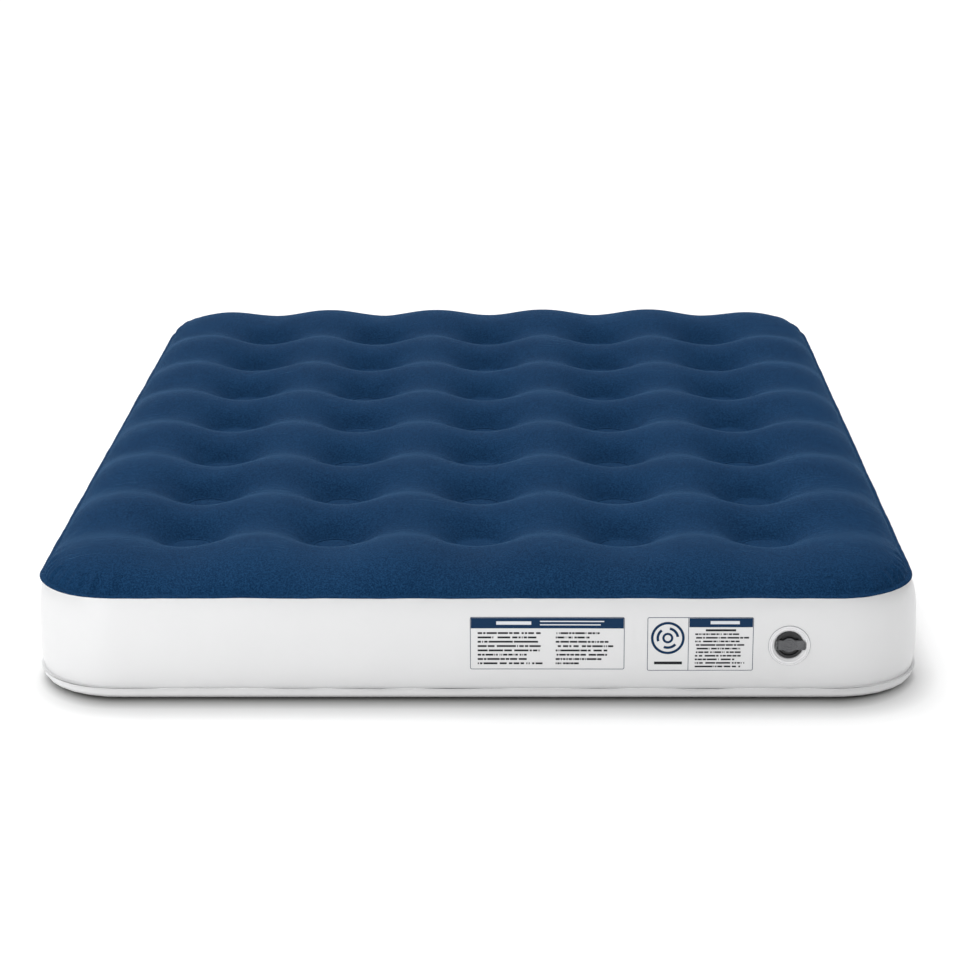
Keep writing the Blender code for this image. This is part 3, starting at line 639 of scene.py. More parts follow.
def makeValve():
    baseLow, baseHigh = localBox("valve_base")
    sealLow, sealHigh = localBox("seal_ring")
    anchorLow, anchorHigh = localBox("strap_anchor")
    stopLow, stopHigh = localBox("stopper")
    flapLow, flapHigh = localBox("check_flap")
    pinLow, pinHigh = localBox("flap_pin")
    bore, funnel, inner, nozzle, plug = (valve[key] for key in ("bore", "funnel", "inner", "nozzle", "plug"))
    face, ledge, lip, dish, seat = (valve[key] for key in ("face", "ledge", "lip", "dish", "seat"))
    winding = valve["threadLow"], valve["threadHigh"], valve["threadPitch"]
    outer = baseHigh.x
    foot = baseLow.z
    pieces = {}
    profile = [(outer, 0.0003), (outer, baseHigh.z - 0.0004), (outer - 0.0006, baseHigh.z),
               (outer - 0.0018, baseHigh.z), (outer - 0.0023, face - 0.0009), (outer - 0.0033, face - 0.0009),
               (outer - 0.0035, face), (funnel + 0.0024, face), (funnel + 0.0019, face + 0.0003),
               (funnel + 0.0006, face + 0.0003), (funnel, face - 0.0002), (funnel - 0.0018, -0.0018),
               (funnel - 0.0026, -0.0019), (0.0249, -0.0052), (0.0246, ledge), (bore, ledge), (bore, foot),
               (bore + 0.0036, foot), (bore + 0.0036, ledge - 0.003), (0.0301, -0.002), (0.0301, 0.0003)]
    thread = threadMesh("base_thread", bore + 0.0003, bore - 0.0011, *winding, 0)
    pieces["base"] = valvePart("valve_ring", [turnedMesh("ring", profile), thread], "mattress",
                               ["valve_base"])
    pieces["seal"] = valvePart("valve_seal", [ringOf("seal", 0.0227, 0.0241, sealLow.z, sealHigh.z)], "seal",
                               ["seal_ring"], 0.0003)
    insert = [(0.0242, lip - 0.0014), (0.0242, lip), (0.0225, lip), (0.0222, lip - 0.0003), (0.0209, lip - 0.0003),
              (0.0206, lip), (inner, lip), (inner, dish + 0.0008), (inner - 0.0008, dish), (0.0142, dish),
              (0.0138, dish + 0.0005), (0.0128, dish + 0.0005), (0.0124, dish), (nozzle, dish), (nozzle, seat),
              (0.0165, seat), (0.0165, seat + 0.0015), (nozzle + 0.0015, seat + 0.0015),
              (nozzle + 0.0015, dish - 0.0015), (inner, dish - 0.0015), (inner, -0.0185), (0.0208, -0.0185),
              (0.0208, lip - 0.0014)]
    shells = [turnedMesh("cup", insert), threadMesh("insert_thread", 0.0206, 0.0220, *winding, 0.5)]
    pinY, pinZ = (pinLow.y + pinHigh.y) / 2, (pinLow.z + pinHigh.z) / 2
    lugs = []
    lugRound = valve["lugRound"]
    lugPlan = [(pinY - lugRound, seat + 0.0008), (pinY + lugRound, seat + 0.0008)]
    lugPlan += [(pinY + lugRound * math.cos(math.pi * k / 12), pinZ - lugRound * math.sin(math.pi * k / 12))
                for k in range(13)]
    for low, high in ((-0.0042, -0.0023), (0.0023, 0.0042)):
        lug = slab("lug", lugPlan, low, high)
        lug.transform(Matrix(((0, 0, 1, 0), (1, 0, 0, 0), (0, 1, 0, 0), (0, 0, 0, 1))))
        lugs.append(lug)
    for k in range(valve["notches"]):  # grip notches inside the lip
        angle = math.tau * (k + 0.5) / valve["notches"]
        ribPlan = [(-0.0007, 0), (0.0007, 0), (0.0005, 0.0008), (-0.0005, 0.0008)]
        rib = slab("rib", ribPlan, dish + 0.0004, lip - 0.0008)
        rib.transform(Matrix.Rotation(angle, 4, "Z") @ Matrix.Translation((0, -inner - 0.0001, 0)))
        shells.append(rib)
    pieces["insert"] = valvePart("valve_cup", shells + lugs, "insert", ["valve_insert"], 0.00015)
    strapHalf = (anchorHigh.y - anchorLow.y) / 2
    anchorMid = (anchorLow.x + anchorHigh.x) / 2
    corner = 0.0022
    anchorPlan = [(anchorHigh.x, -strapHalf), (anchorHigh.x, strapHalf), (anchorLow.x + corner, strapHalf),
                  (anchorLow.x, strapHalf - corner), (anchorLow.x, -strapHalf + corner),
                  (anchorLow.x + corner, -strapHalf)]
    strapFoot, strapThick = valve["strapFoot"], valve["strapThick"]
    stud = turnedMesh("stud", [(0, -0.0041), (0.0009, -0.0041), (0.0009, strapFoot + 0.0004),
                               (0, strapFoot + 0.0004)], 24)
    head = turnedMesh("head", [(0, -0.0014), (0.0021, -0.0014), (0.0023, -0.0011), (0.0019, -0.0007),
                               (0, -0.0006)], 32)
    for mesh in (stud, head):
        mesh.transform(Matrix.Translation((anchorMid, 0, 0)))
    end = slab("end", anchorPlan, strapFoot, strapFoot + strapThick)
    pieces["anchor"] = valvePart("strap_end", [end, stud, head], "insert", ["strap_anchor"], 0.0002)
    near, reach, tab = stopLow.x, stopHigh.x, valve["tabLength"]
    rise = stopHigh.z - strapThick
    steps = 10
    bottom, top = [], []
    for k in range(steps + 1):  # the pull tab lifts over the ring in one soft curve
        t = k / steps
        x = reach - tab + tab * t
        lift = (rise - strapFoot) * (t * t * (3 - 2 * t))
        bottom.append((x, strapFoot + lift))
        top.append((x, strapFoot + strapThick + lift))
    side = [(near, strapFoot)] + bottom + top[::-1] + [(near, strapFoot + strapThick)]
    strap = slab("strap", side, -strapHalf, strapHalf, "Y")
    for vert in strap.vertices:  # the tab narrows to a rounded end
        past = (vert.co.x - (reach - 0.0060)) / 0.0060
        if past > 0:
            vert.co.y *= 1 - 0.42 * past ** 2.2
    capTop, capFoot = -0.0009, -0.0033
    capR = (stopHigh.y - stopLow.y) / 2
    profile = [(0, -0.0103), (0.0034, -0.0103), (0.0037, -0.0098), (0.0038, capTop - 0.0004),
               (0.0042, capTop + 0.0002), (0.0050, capTop + 0.0002), (0.0053, capTop - 0.0003), (0.0078, capTop - 0.0003),
               (0.0081, capTop + 0.0003), (0.0089, capTop + 0.0003), (0.0092, capTop - 0.0002),
               (capR - 0.0014, capTop - 0.0002), (capR - 0.0011, capTop + 0.0002), (capR - 0.0003, capTop),
               (capR, capTop - 0.0006), (capR, capFoot), (plug, capFoot), (plug, dish), (plug - 0.0020, -0.0130),
               (0, -0.0130)]
    grips = []
    for k in range(3):
        x = reach - 0.0012 - 0.0011 * k
        gripPlan = [(x - 0.0003, -0.0038), (x + 0.0003, -0.0038), (x + 0.0003, 0.0038), (x - 0.0003, 0.0038)]
        grips.append(slab("grip", gripPlan, rise + 0.0008, rise + 0.0014))
    pieces["stopper"] = valvePart("valve_stopper", [strap, turnedMesh("cap", profile)] + grips, "stopper",
                                  ["stopper"], 0.00015)
    flapR = -flapLow.y
    flapTop = flapHigh.z
    flap = turnedMesh("flap", [(0, flapTop - 0.0014), (0.0035, flapTop - 0.0014), (0.004, flapTop - 0.0010),
                               (flapR, flapTop - 0.0010), (flapR, flapTop), (0, flapTop)])
    arm = slab("arm", [(-0.0018, 0.0088), (0.0018, 0.0088), (0.0018, pinY), (-0.0018, pinY)],
               flapTop - 0.0010, flapTop - 0.0001)
    knuckle = ringOf("knuckle", 0.0011, 0.0016, -0.0019, 0.0019)
    knuckle.transform(Matrix.Translation((0, pinY, pinZ)) @ Matrix.Rotation(math.pi / 2, 4, "Y"))
    pieces["flap"] = valvePart("valve_flap", [flap, arm, knuckle], "flap", ["check_flap"], 0.00015)
    pin = turnedMesh("pin", [(0, pinLow.x), (0.0008, pinLow.x), (0.0008, pinHigh.x), (0, pinHigh.x)], 32)
    pin.transform(Matrix.Translation((0, pinY, pinZ)) @ Matrix.Rotation(math.pi / 2, 4, "Y"))
    pieces["pin"] = valvePart("hinge_pin", [pin], "insert", ["flap_pin"], 0.0001)
    return pieces


class Value:  # an expression on values adds its Math nodes
    def __init__(self, tree, socket):
        self.tree = tree
        self.socket = socket

    def math(self, operation, *others, flip=False):
        node = self.tree.nodes.new("ShaderNodeMath")
        node.operation = operation
        terms = [self, *others]
        if flip:
            terms.reverse()
        for slot, term in zip(node.inputs, terms):
            if isinstance(term, Value):
                self.tree.links.new(term.socket, slot)
            else:
                slot.default_value = term
        return Value(self.tree, node.outputs[0])

    def __add__(self, other):
        return self.math("ADD", other)

    def __radd__(self, other):
        return self.math("ADD", other, flip=True)

    def __sub__(self, other):
        return self.math("SUBTRACT", other)

    def __rsub__(self, other):
        return self.math("SUBTRACT", other, flip=True)

    def __mul__(self, other):
        return self.math("MULTIPLY", other)

    def __rmul__(self, other):
        return self.math("MULTIPLY", other, flip=True)


class NodeMaker:
    def node(self, kind, settings=None, **sockets):  # sockets by their names, with _ for a space
        node = self.tree.nodes.new(kind)
        for key, value in (settings or {}).items():
            setattr(node, key, value)
        for key, value in sockets.items():
            self.feed(node.inputs[key.replace("_", " ")], value)
        return node

    def feed(self, socket, value):
        if isinstance(value, Value):
            value = value.socket
        if isinstance(value, bpy.types.NodeSocket):
            self.tree.links.new(value, socket)
        else:
            socket.default_value = value


class Shader(NodeMaker):
    def __init__(self, name, **settings):  # settings: Principled sockets by their names, with _ for a space
        self.material = bpy.data.materials.new(name)
        self.material.use_nodes = True
        self.tree = self.material.node_tree
        self.surface = self.tree.nodes["Principled BSDF"]
        for key, value in settings.items():
            self.surface.inputs[key.replace("_", " ")].default_value = value
        self.place = self.node("ShaderNodeTexCoord").outputs["Object"]

    def value(self, socket):
        return Value(self.tree, socket)

    def noise(self, scale, detail=2.0, roughness=0.5, vector=None):
        node = self.node("ShaderNodeTexNoise", Scale=scale, Detail=detail, Roughness=roughness,
                         Vector=vector or self.place)
        return self.value(node.outputs[0])

    def stretched(self, scale):  # object coordinates stretched along the axes
        return self.node("ShaderNodeMapping", Vector=self.place, Scale=scale).outputs[0]

    def mix(self, factor, one, two):
        node = self.tree.nodes.new("ShaderNodeMix")
        node.data_type = "RGBA"
        self.feed(node.inputs[0], factor)
        self.feed(node.inputs[6], one)
        self.feed(node.inputs[7], two)
        return node.outputs[2]

    def ramp(self, factor, stops):
        node = self.tree.nodes.new("ShaderNodeValToRGB")
        while len(node.color_ramp.elements) < len(stops):
            node.color_ramp.elements.new(0.5)
        for element, (position, level) in zip(node.color_ramp.elements, stops):
            element.position = position
            element.color = (level, level, level, 1)
        self.feed(node.inputs[0], factor)
        return self.value(node.outputs[0])

    def bump(self, height, distance, strength=1.0, under=None):
        node = self.node("ShaderNodeBump", Strength=strength, Distance=distance, Height=height)
        if under is not None:
            self.feed(node.inputs["Normal"], under)
        return node.outputs[0]

    def use(self, **sockets):
        for key, value in sockets.items():
            self.feed(self.surface.inputs[key.replace("_", " ")], value)
        return self.material


def flockMaterial():
    shader = Shader("flock", Sheen_Weight=0.42, Sheen_Roughness=0.12, Sheen_Tint=(0.20, 0.48, 0.85, 1),
                    Specular_IOR_Level=0.05)
    fibre = shader.noise(900, 2.0, 0.6)
    grain = shader.noise(340, 3.0, 0.7)
    brushed = shader.noise(1.0, 3.0, 0.5, shader.stretched((5, 9, 6)))
    patch = shader.noise(16, 3.0, 0.55)
    lightness = shader.ramp(grain, [(0.40, 0), (0.62, 1)]) * 0.7 + shader.ramp(fibre, [(0.38, 0), (0.62, 1)]) * 0.3
    lightness = lightness + patch * 0.25 + brushed * 0.3 - 0.28
    colour = shader.mix(lightness, (0.0016, 0.0180, 0.0560, 1), (0.0118, 0.0560, 0.1400, 1))
    gather = shader.noise(1.0, 2.0, 0.5, shader.stretched((16, 130, 16)))
    gather = shader.ramp(gather, [(0.52, 0), (0.72, 1)]) * shader.ramp(patch, [(0.45, 0), (0.62, 1)])
    height = grain * 0.5 + fibre * 0.3 + gather * 0.5
    normal = shader.bump(patch, 0.0012, 0.5, shader.bump(height, 0.0014, 0.9))
    return shader.use(Base_Color=colour, Normal=normal, Roughness=grain * 0.15 + 0.78)


def sheetMaterial(name, dark, light):
    shader = Shader(name, Roughness=0.4, Specular_IOR_Level=0.45, Coat_Roughness=0.3)
    cloud = shader.noise(5, 3.0, 0.5)
    crumple = shader.noise(28, 3.0, 0.55)
    grainy = shader.noise(900, 2.0, 0.5)
    colour = shader.mix(cloud * 0.6 + crumple * 0.4, (*dark, 1), (*light, 1))
    normal = shader.bump(crumple, 0.0016, 0.35, shader.bump(grainy, 0.0001, 0.3))
    return shader.use(Base_Color=colour, Normal=normal, Roughness=crumple * 0.12 + 0.33, Coat_Weight=cloud * 0.15)


def plasticMaterial(name, dark, light, roughness, **settings):
    shader = Shader(name, **settings)
    cloud = shader.noise(60, 2.0, 0.5)
    grain = shader.noise(2600, 2.0, 0.5)
    colour = shader.mix(cloud, (*dark, 1), (*light, 1))
    return shader.use(Base_Color=colour, Roughness=grain * 0.14 + (roughness - 0.07),
                      Normal=shader.bump(grain, 0.00003, 0.35))


def inkMaterial(name, colour):
    shader = Shader(name, Specular_IOR_Level=0.15)
    speck = shader.noise(1800, 2.0, 0.6)
    thin = tuple(min(1, c * 1.3 + 0.004) for c in colour)
    return shader.use(Base_Color=shader.mix(speck, (*colour, 1), (*thin, 1)), Roughness=speck * 0.15 + 0.38)


class Nodes(NodeMaker):
    def __init__(self, name, inputs):
        self.tree = bpy.data.node_groups.new(name, "GeometryNodeTree")
        self.tree.interface.new_socket("Geometry", in_out="INPUT", socket_type="NodeSocketGeometry")
        self.tree.interface.new_socket("Geometry", in_out="OUTPUT", socket_type="NodeSocketGeometry")
        for title, kind in inputs.items():
            self.tree.interface.new_socket(title, in_out="INPUT", socket_type="NodeSocket" + kind)
        self.entry = self.tree.nodes.new("NodeGroupInput")
        self.exit = self.tree.nodes.new("NodeGroupOutput")

    def value(self, title):
        return Value(self.tree, self.entry.outputs[title])

    def finish(self, geometry, material):
        solid = self.node("GeometryNodeRealizeInstances", Geometry=geometry)
        painted = self.node("GeometryNodeSetMaterial", Geometry=solid.outputs[0], Material=material)
        self.tree.links.new(painted.outputs[0], self.exit.inputs[0])
        return self.tree


def grow(obj, tree, values):  # runs a tree on an object and keeps the result as a plain mesh
    modifier = obj.modifiers.new("Nodes", "NODES")
    modifier.node_group = tree
    for item in tree.interface.items_tree:
        if item.item_type == "SOCKET" and item.in_out == "INPUT" and item.name in values:
            modifier[item.identifier] = values[item.name]
    return applyModifiers(obj)


def weldRingTree():
    nodes = Nodes("weldRings", {"Radius": "Float", "Bead width": "Float", "Bead height": "Float",
                                "Material": "Material"})
    radius, wide, tall = (nodes.value(title) for title in ("Radius", "Bead width", "Bead height"))
    circle = nodes.node("GeometryNodeCurvePrimitiveCircle", Resolution=56, Radius=radius)
    bead = nodes.node("GeometryNodeCurvePrimitiveCircle", Resolution=6, Radius=wide * 0.5)
    squash = nodes.node("ShaderNodeCombineXYZ", X=1.0, Y=tall * 2.0 * wide.math("POWER", -1.0), Z=1.0)
    flat = nodes.node("GeometryNodeTransform", Geometry=bead.outputs[0], Scale=squash.outputs[0])
    tube = nodes.node("GeometryNodeCurveToMesh", Curve=circle.outputs[0], Profile_Curve=flat.outputs[0])
    spread = nodes.node("GeometryNodeInstanceOnPoints", Points=nodes.entry.outputs["Geometry"],
                        Instance=tube.outputs[0])
    return nodes.finish(spread.outputs[0], nodes.entry.outputs["Material"])


def printedRowsTree():  # left-aligned bars of uneven length, one below the other
    nodes = Nodes("printedRows", {"Width": "Float", "Shortest": "Float", "Bar": "Float", "Step": "Float",
                                  "Gaps": "Float", "Rows": "Int", "Seed": "Int", "Material": "Material"})
    width, shortest, bar, step = (nodes.value(title) for title in ("Width", "Shortest", "Bar", "Step"))
    down = nodes.node("ShaderNodeCombineXYZ", X=0.0, Y=0.0, Z=step * -1.0)
    line = nodes.node("GeometryNodeMeshLine", Count=nodes.entry.outputs["Rows"], Offset=down.outputs[0])
    sheet = nodes.node("GeometryNodeMeshGrid", Size_X=1.0, Size_Y=1.0, Vertices_X=57, Vertices_Y=2)
    upright = nodes.node("GeometryNodeTransform", Geometry=sheet.outputs[0], Translation=(0.5, 0, 0),
                         Rotation=(math.pi / 2, 0, 0))
    length = nodes.node("FunctionNodeRandomValue", {"data_type": "FLOAT"}, Seed=nodes.entry.outputs["Seed"])
    nodes.feed(length.inputs[2], shortest)
    nodes.feed(length.inputs[3], width)
    size = nodes.node("ShaderNodeCombineXYZ", X=Value(nodes.tree, length.outputs[1]), Y=1.0, Z=bar)
    spread = nodes.node("GeometryNodeInstanceOnPoints", Points=line.outputs[0], Instance=upright.outputs[0],
                        Scale=size.outputs[0])
    bars = nodes.node("GeometryNodeRealizeInstances", Geometry=spread.outputs[0])
    gap = nodes.node("FunctionNodeRandomValue", {"data_type": "BOOLEAN"}, Seed=nodes.entry.outputs["Seed"])
    nodes.feed(gap.inputs["Probability"], nodes.value("Gaps"))
    words = nodes.node("GeometryNodeDeleteGeometry", {"domain": "FACE"}, Geometry=bars.outputs[0],
                       Selection=gap.outputs[3])
    return nodes.finish(words.outputs[0], nodes.entry.outputs["Material"])


# printed panels on the foot wall: plain rows and shapes, no lettering
panels = {
    "lift": 0.00025,
    "line": 0.0009,
    "left": {"x": 0.124, "z": 0.106, "width": 0.265, "height": 0.094, "header": 0.020},
    "right": {"x": 0.3868, "z": 0.1045, "width": 0.182, "height": 0.096, "header": 0.0175, "split": 0.070},
    "corner": 0.003,
    "badge": {"up": 0.011, "rim": (0.0290, 0.0246), "hub": (0.0095, 0.0055), "arc": (0.0195, 0.0150)},
    "rows": {"Bar": 0.0032, "Step": 0.0078, "Shortest": 0.075, "Width": 0.112, "Gaps": 0.2, "Rows": 8, "Seed": 3},
    "headerLift": 0.00008,  # the pale bars stand this far off the header
}
# name, the corner it is measured from, across, up, and what differs from the rows above
printed = [
    ("print_rows_a", "leftText", 0.013, -0.0085, {}),
    ("print_rows_b", "leftText", 0.147, -0.0085, {"Width": 0.104, "Shortest": 0.030, "Seed": 11}),
    ("print_rows_c", "rightText", 0.012, -0.0125,
     {"Bar": 0.0028, "Step": 0.0065, "Width": 0.094, "Shortest": 0.055, "Rows": 10, "Seed": 5}),
    ("print_rows_d", "rightText", 0.030, -0.0055,
     {"Bar": 0.0036, "Gaps": 0.0, "Width": 0.052, "Shortest": 0.0519, "Rows": 1, "Seed": 2}),
    ("print_rows_e", "badgeText", 0.012, 0.014,
     {"Bar": 0.0050, "Gaps": 0.0, "Width": 0.048, "Shortest": 0.0479, "Rows": 1, "Seed": 2}),
]
headerBars = [  # name, corner, across, up, width, height and seed
    ("print_head_a", "leftHeader", 0.045, -0.0005, 0.060, 0.0060, 1),
    ("print_head_b", "leftHeader", 0.120, 0.0025, 0.110, 0.0020, 4),
    ("print_head_c", "leftHeader", 0.120, -0.0035, 0.104, 0.0020, 6),
    ("print_head_d", "rightHeader", 0.038, -0.0005, 0.050, 0.0056, 8),
]


def onWall(points):  # lays flat (x, z) points on the foot wall's face
    foot = np.column_stack([points[:, 0], np.full(len(points), -seam["halfY"])])
    out = wallOut(foot, points[:, 2])
    return np.column_stack([points[:, 0], -seam["halfY"] - out - panels["lift"], points[:, 2]])


def quad(bm, x0, z0, x1, z1):
    stepsX = max(1, math.ceil(abs(x1 - x0) / 0.008))
    stepsZ = max(1, math.ceil(abs(z1 - z0) / 0.008))
    grid = [[bm.verts.new((x0 + (x1 - x0) * i / stepsX, 0, z0 + (z1 - z0) * j / stepsZ)) for i in range(stepsX + 1)]
            for j in range(stepsZ + 1)]
    for lower, upper in zip(grid, grid[1:]):
        for i in range(stepsX):
            bm.faces.new((lower[i], lower[i + 1], upper[i + 1], upper[i]))


def frameLine(bm, x0, z0, x1, z1, corner, line):  # a thin outline with rounded corners
    inner, outer = [], []
    corners = [(x1 - corner, z1 - corner), (x0 + corner, z1 - corner), (x0 + corner, z0 + corner),
               (x1 - corner, z0 + corner)]
    for number, (cx, cz) in enumerate(corners):
        for k in range(7):
            angle = math.pi / 2 * (number + k / 6)
            for ring, radius in ((outer, corner), (inner, corner - line)):
                ring.append(Vector((cx + radius * math.cos(angle), 0, cz + radius * math.sin(angle))))
    for ring in (inner, outer):
        fine = []
        for here, there in zip(ring, ring[1:] + ring[:1]):
            pieces = 1 if (there - here).length < 0.01 else 16
            fine += [here.lerp(there, k / pieces) for k in range(pieces)]
        ring[:] = fine
    rows = [[bm.verts.new(spot) for spot in ring] for ring in (outer, inner)]
    bridge(bm, rows[1], rows[0])


def discs(bm, x, z, radius, hole, start=0.0, sweep=math.tau, steps=48):  # a flat ring or a part of one
    angles = [start + sweep * k / steps for k in range(steps + 1)]
    rows = [[bm.verts.new((x + r * math.cos(a), 0, z + r * math.sin(a))) for a in angles] for r in (radius, hole)]
    for k in range(steps):
        bm.faces.new((rows[0][k], rows[0][k + 1], rows[1][k + 1], rows[1][k]))


def inkPiece(name, draw, material):
    bm = bmesh.new()
    draw(bm)
    mesh = meshFrom(bm, name)
    writePoints(mesh, onWall(readPoints(mesh)))
    faceForward(mesh)
    mesh.materials.append(material)
    return addObject(name, mesh, "mattress")


def faceForward(mesh):  # every printed face looks out of the wall
    bm = openMesh(mesh)
    bm.normal_update()
    bmesh.ops.reverse_faces(bm, faces=[face for face in bm.faces if face.normal.y > 0])
    closeMesh(bm, mesh)


def printedRows(name, tree, x, z, values):
    obj = addObject(name, bpy.data.meshes.new(name))
    grow(obj, tree, values)
    obj.data.transform(Matrix.Translation((x, 0, z)))
    writePoints(obj.data, onWall(readPoints(obj.data)))
    faceForward(obj.data)
    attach(obj, "mattress")
    return obj


def makePanels():
    navy = inkMaterial("navy_ink", (0.0, 0.022, 0.068))
    black = inkMaterial("black_ink", (0.010, 0.011, 0.014))
    pale = inkMaterial("pale_ink", (0.62, 0.64, 0.68))
    rows = printedRowsTree()

    def edges(panel):
        x0, x1 = panel["x"] - panel["width"] / 2, panel["x"] + panel["width"] / 2
        return x0, panel["z"] - panel["height"] / 2, x1, panel["z"] + panel["height"] / 2

    left, right = panels["left"], panels["right"]
    lx0, lz0, lx1, lz1 = edges(left)
    rx0, rz0, rx1, rz1 = edges(right)
    split = rx0 + right["split"]
    line = panels["line"]

    def outlines(bm):
        frameLine(bm, lx0, lz0, lx1, lz1, panels["corner"], line)
        frameLine(bm, rx0, rz0, rx1, rz1, panels["corner"], line)
        quad(bm, split, rz0 + line, split + line, rz1 - line)

    def headers(bm):
        inset = line * 1.6
        quad(bm, lx0 + inset, lz1 - left["header"], lx1 - inset, lz1 - inset)
        quad(bm, split + 2 * line, rz1 - right["header"], rx1 - inset, rz1 - inset)

    def badge(bm):
        x, z = (rx0 + split) / 2, right["z"] + panels["badge"]["up"]
        discs(bm, x, z, *panels["badge"]["rim"])
        discs(bm, x, z, *panels["badge"]["hub"])
        for k in range(3):
            discs(bm, x, z, *panels["badge"]["arc"], math.tau * (k / 3 + 0.02), math.tau * 0.20, 16)

    inkPiece("panel_outlines", outlines, navy)
    inkPiece("panel_headers", headers, navy)
    inkPiece("panel_badge", badge, navy)
    spots = {"leftText": (lx0, lz1 - left["header"]), "rightText": (split, rz1 - right["header"]),
             "badgeText": (rx0, rz0), "leftHeader": (lx0, lz1 - left["header"] / 2),
             "rightHeader": (split, rz1 - right["header"] / 2)}
    for name, spot, across, up, changes in printed:
        x, z = spots[spot]
        printedRows(name, rows, x + across, z + up, {**panels["rows"], "Material": black, **changes})
    for name, spot, across, up, width, height, seed in headerBars:
        x, z = spots[spot]
        values = {**panels["rows"], "Bar": height, "Gaps": 0.0, "Width": width, "Shortest": width - 1e-4, "Rows": 1,
                  "Seed": seed, "Material": pale}
        obj = printedRows(name, rows, x + across, z + up, values)
        writePoints(obj.data, readPoints(obj.data) - np.array([0, panels["headerLift"], 0]))


bottomSheet = {
    "bulge": 0.0045,
    "roll": 0.016,
    "slope": 0.032,
    "skin": 0.0007,  # from the sheet to a beam's foot
}


def makeBottom():
    mesh = quiltedMesh("bottom_skin")
    points = readPoints(mesh)
    foot, outward, depth = seamFoot(points)
    nearest = nearestDisc(points)
    rise = beamBoxes[0][0].z - bottomSheet["skin"]
    u = np.clip(depth / bottomSheet["roll"], 0, 1)
    points[:, :2] += outward * (flareAt(foot) * (1 - ease(depth, 0, bottomSheet["roll"] * 4)))[:, None]
    rim = 1 - np.sqrt(1 - (1 - u) ** 2)
    points[:, :2] += outward * (bottomSheet["bulge"] * np.sin(math.pi * rim) ** 0.8)[:, None]
    points[:, 2] = seam["bottomZ"] * rim
    points[:, 2] += rise * (1 - ease(nearest, discRadius, discRadius + bottomSheet["slope"]))
    writePoints(mesh, points)
    bm = openMesh(mesh)
    bmesh.ops.reverse_faces(bm, faces=bm.faces)
    closeMesh(bm, mesh)
    obj = addObject("bottom_skin", mesh)
    refineBorder(obj, 6, 1)
    addBand(obj, band["bottom"], flareAt)
    return obj


# each material: dark and light colour, then roughness
flock = flockMaterial()
whitePvc = sheetMaterial("white_pvc", (0.730, 0.732, 0.738), (0.772, 0.773, 0.776))
# the bottom sheet is the same white PVC as the wall, made lighter: painted light on its shaded, downward-facing roll
bottomPvcPaintedLight = sheetMaterial("bottom_pvc_painted_light", (0.880, 0.882, 0.886), (0.915, 0.916, 0.919))
beamPvc = plasticMaterial("beam_pvc", (0.50, 0.53, 0.57), (0.56, 0.59, 0.63), 0.5)
valveWhite = plasticMaterial("moulded_white", (0.80, 0.80, 0.81), (0.85, 0.85, 0.86), 0.3)
valveBlack = plasticMaterial("moulded_black", (0.010, 0.010, 0.011), (0.020, 0.020, 0.022), 0.36)
smoke = plasticMaterial("smoke_vinyl", (0.055, 0.057, 0.064), (0.105, 0.108, 0.118), 0.16, Alpha=0.8,
                        Specular_IOR_Level=1.0)
rubber = plasticMaterial("soft_rubber", (0.030, 0.030, 0.033), (0.050, 0.050, 0.054), 0.75)


def finishSheet(obj, material, node):
    obj.data.materials.clear()
    obj.data.materials.append(material)
    smooth(obj.data)
    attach(obj, "mattress")
    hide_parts(node)
    print(obj.name, "faces", len(obj.data.polygons))


weldBead = {"disc": (0.0024, 0.0007), "valve": (0.0010, 0.0005)}  # width and height of a raised weld


def addWeldRings(name, places, radius, bead, material, turn=Matrix()):
    obj = addObject(name, bpy.data.meshes.new(name))
    obj.data.from_pydata(places, [], [])
    grow(obj, weldRingTree(), {"Radius": radius, "Bead width": bead[0], "Bead height": bead[1], "Material": material})
    obj.data.transform(turn)
    smooth(obj.data)
    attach(obj, "mattress")


top = makeTop()
refineBorder(top, 9, 3)
crease(top, 1)
clearBeams(top)
addBand(top, band["top"])
finishSheet(top, flock, "top_sheet")

addWeldRings("weld_rings", [(spot.x, spot.y, seam["topZ"] + topSheet["discRise"] + 0.0002) for spot in dimples],
             discRadius - 0.0032, weldBead["disc"], flock)
# the grey beads round the valve ring are painted shade, standing for the thin shadow lines at the ring's edges
paintedShadeLine = plasticMaterial("painted_shade_line", (0.36, 0.37, 0.39), (0.44, 0.45, 0.47), 0.4)
addWeldRings("valve_weld_lines", [(0, 0, 0.0002)], localBox("valve_base")[1].x + 0.0004, weldBead["valve"],
             paintedShadeLine, valveMatrix)

wall = makeWall()
finishSheet(wall, whitePvc, "side_wall")
smooth(wall.data, 50)

bottom = makeBottom()
finishSheet(bottom, bottomPvcPaintedLight, "bottom_sheet")
print("sheets done")

looks = {"base": valveWhite, "seal": rubber, "insert": valveBlack, "anchor": smoke, "stopper": smoke,
         "flap": rubber, "pin": valveBlack}
for key, piece in makeValve().items():
    piece.data.materials.clear()
    piece.data.materials.append(looks[key])
for name, node in frame["nodes"].items():
    if name.startswith("coil_beam"):
        node.data.materials.clear()
        node.data.materials.append(beamPvc)
print("valve done")
makePanels()
print("panels done")


light = {
    "sky": 0.60,
    "keyPower": 1.8,
    "keySpread": 50,
    "keyTurn": (-24, -10),  # tilt of the key light about X and Y, in degrees
    "frontPower": 22,
    "frontSize": 1.6,
    "frontSpot": (-1.7, -3.2, 0.85),
    "backPower": 20,
    "backSize": 3.0,
    "backSpot": (-0.6, 3.4, 2.4),
}


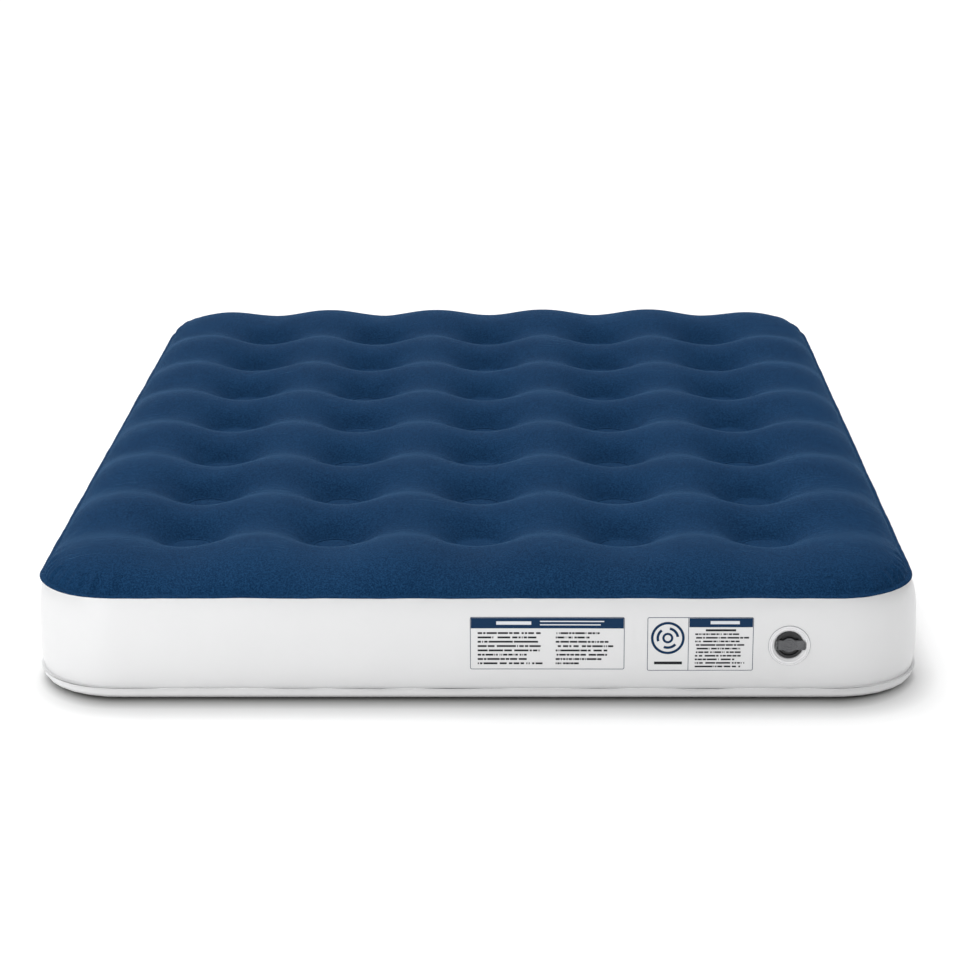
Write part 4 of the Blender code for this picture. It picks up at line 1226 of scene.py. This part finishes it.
def makeStage():
    bm = bmesh.new()
    bmesh.ops.create_grid(bm, x_segments=4, y_segments=4, size=30)
    bmesh.ops.translate(bm, verts=bm.verts, vec=(0, 0, -0.0004))
    mesh = meshFrom(bm, "floor")
    floor = addObject("floor", mesh)
    shader = Shader("pale_floor", Specular_IOR_Level=0.0, Roughness=0.9)
    axes = shader.node("ShaderNodeSeparateXYZ", Vector=shader.place)
    overX, overY = (shader.value(axes.outputs[k]).math("ABSOLUTE").math("SUBTRACT", seam[half] - seam["corner"])
                    .math("MAXIMUM", 0.0) for k, half in ((0, "halfX"), (1, "halfY")))
    away = (overX * overX * 1.4 + overY * overY).math("SQRT") - seam["corner"]
    shade = shader.ramp(away * 7.0, [(0.0, 0.0), (0.12, 0.35), (0.33, 0.8), (0.7, 1.0)])  # painted soft contact shadow in the floor's colour, darkest at the mattress footprint
    pale = shader.mix(shader.noise(3), (0.97, 0.97, 0.97, 1), (0.99, 0.99, 0.99, 1))
    mesh.materials.append(shader.use(Base_Color=shader.mix(shade, (0.22, 0.22, 0.215, 1), pale)))
    world = bpy.data.worlds.new("studio")
    bpy.context.scene.world = world
    world.use_nodes = True
    background = world.node_tree.nodes["Background"]
    background.inputs["Color"].default_value = (1, 1, 1, 1)
    background.inputs["Strength"].default_value = light["sky"]


def addLight(name, kind, energy, place, aim=None, size=1.0):
    data = bpy.data.lights.new(name, kind)
    data.energy = energy
    if kind == "AREA":
        data.size = size
    lamp = bpy.data.objects.new(name, data)
    bpy.context.scene.collection.objects.link(lamp)
    lamp.location = place
    if aim:
        lamp.rotation_euler = (Vector(aim) - Vector(place)).to_track_quat("-Z", "Y").to_euler()
    return lamp


makeStage()
key = addLight("key", "SUN", light["keyPower"], (0, 0, 4))
key.data.angle = math.radians(light["keySpread"])
key.rotation_euler = (math.radians(light["keyTurn"][0]), math.radians(light["keyTurn"][1]), 0)
addLight("front", "AREA", light["frontPower"], light["frontSpot"], (-0.3, -1.0, 0.1), light["frontSize"])
addLight("back", "AREA", light["backPower"], light["backSpot"], (0, 0.2, 0.2), light["backSize"])

view = {
    "lens": 95.29,  # on a 36 mm sensor
    "place": (0.0804, -5.1192, 1.6381),
    "pitch": 16.84,  # degrees below level
    "shift": -0.0436,  # of the picture's width
}
cameraData = bpy.data.cameras.new("camera")
cameraData.lens = view["lens"]
cameraData.sensor_width = 36
cameraData.shift_x = view["shift"]
camera = bpy.data.objects.new("camera", cameraData)
bpy.context.scene.collection.objects.link(camera)
camera.location = view["place"]
camera.rotation_euler = (math.radians(90 - view["pitch"]), 0, 0)
bpy.context.scene.camera = camera
bpy.context.scene.view_settings.view_transform = "Standard"
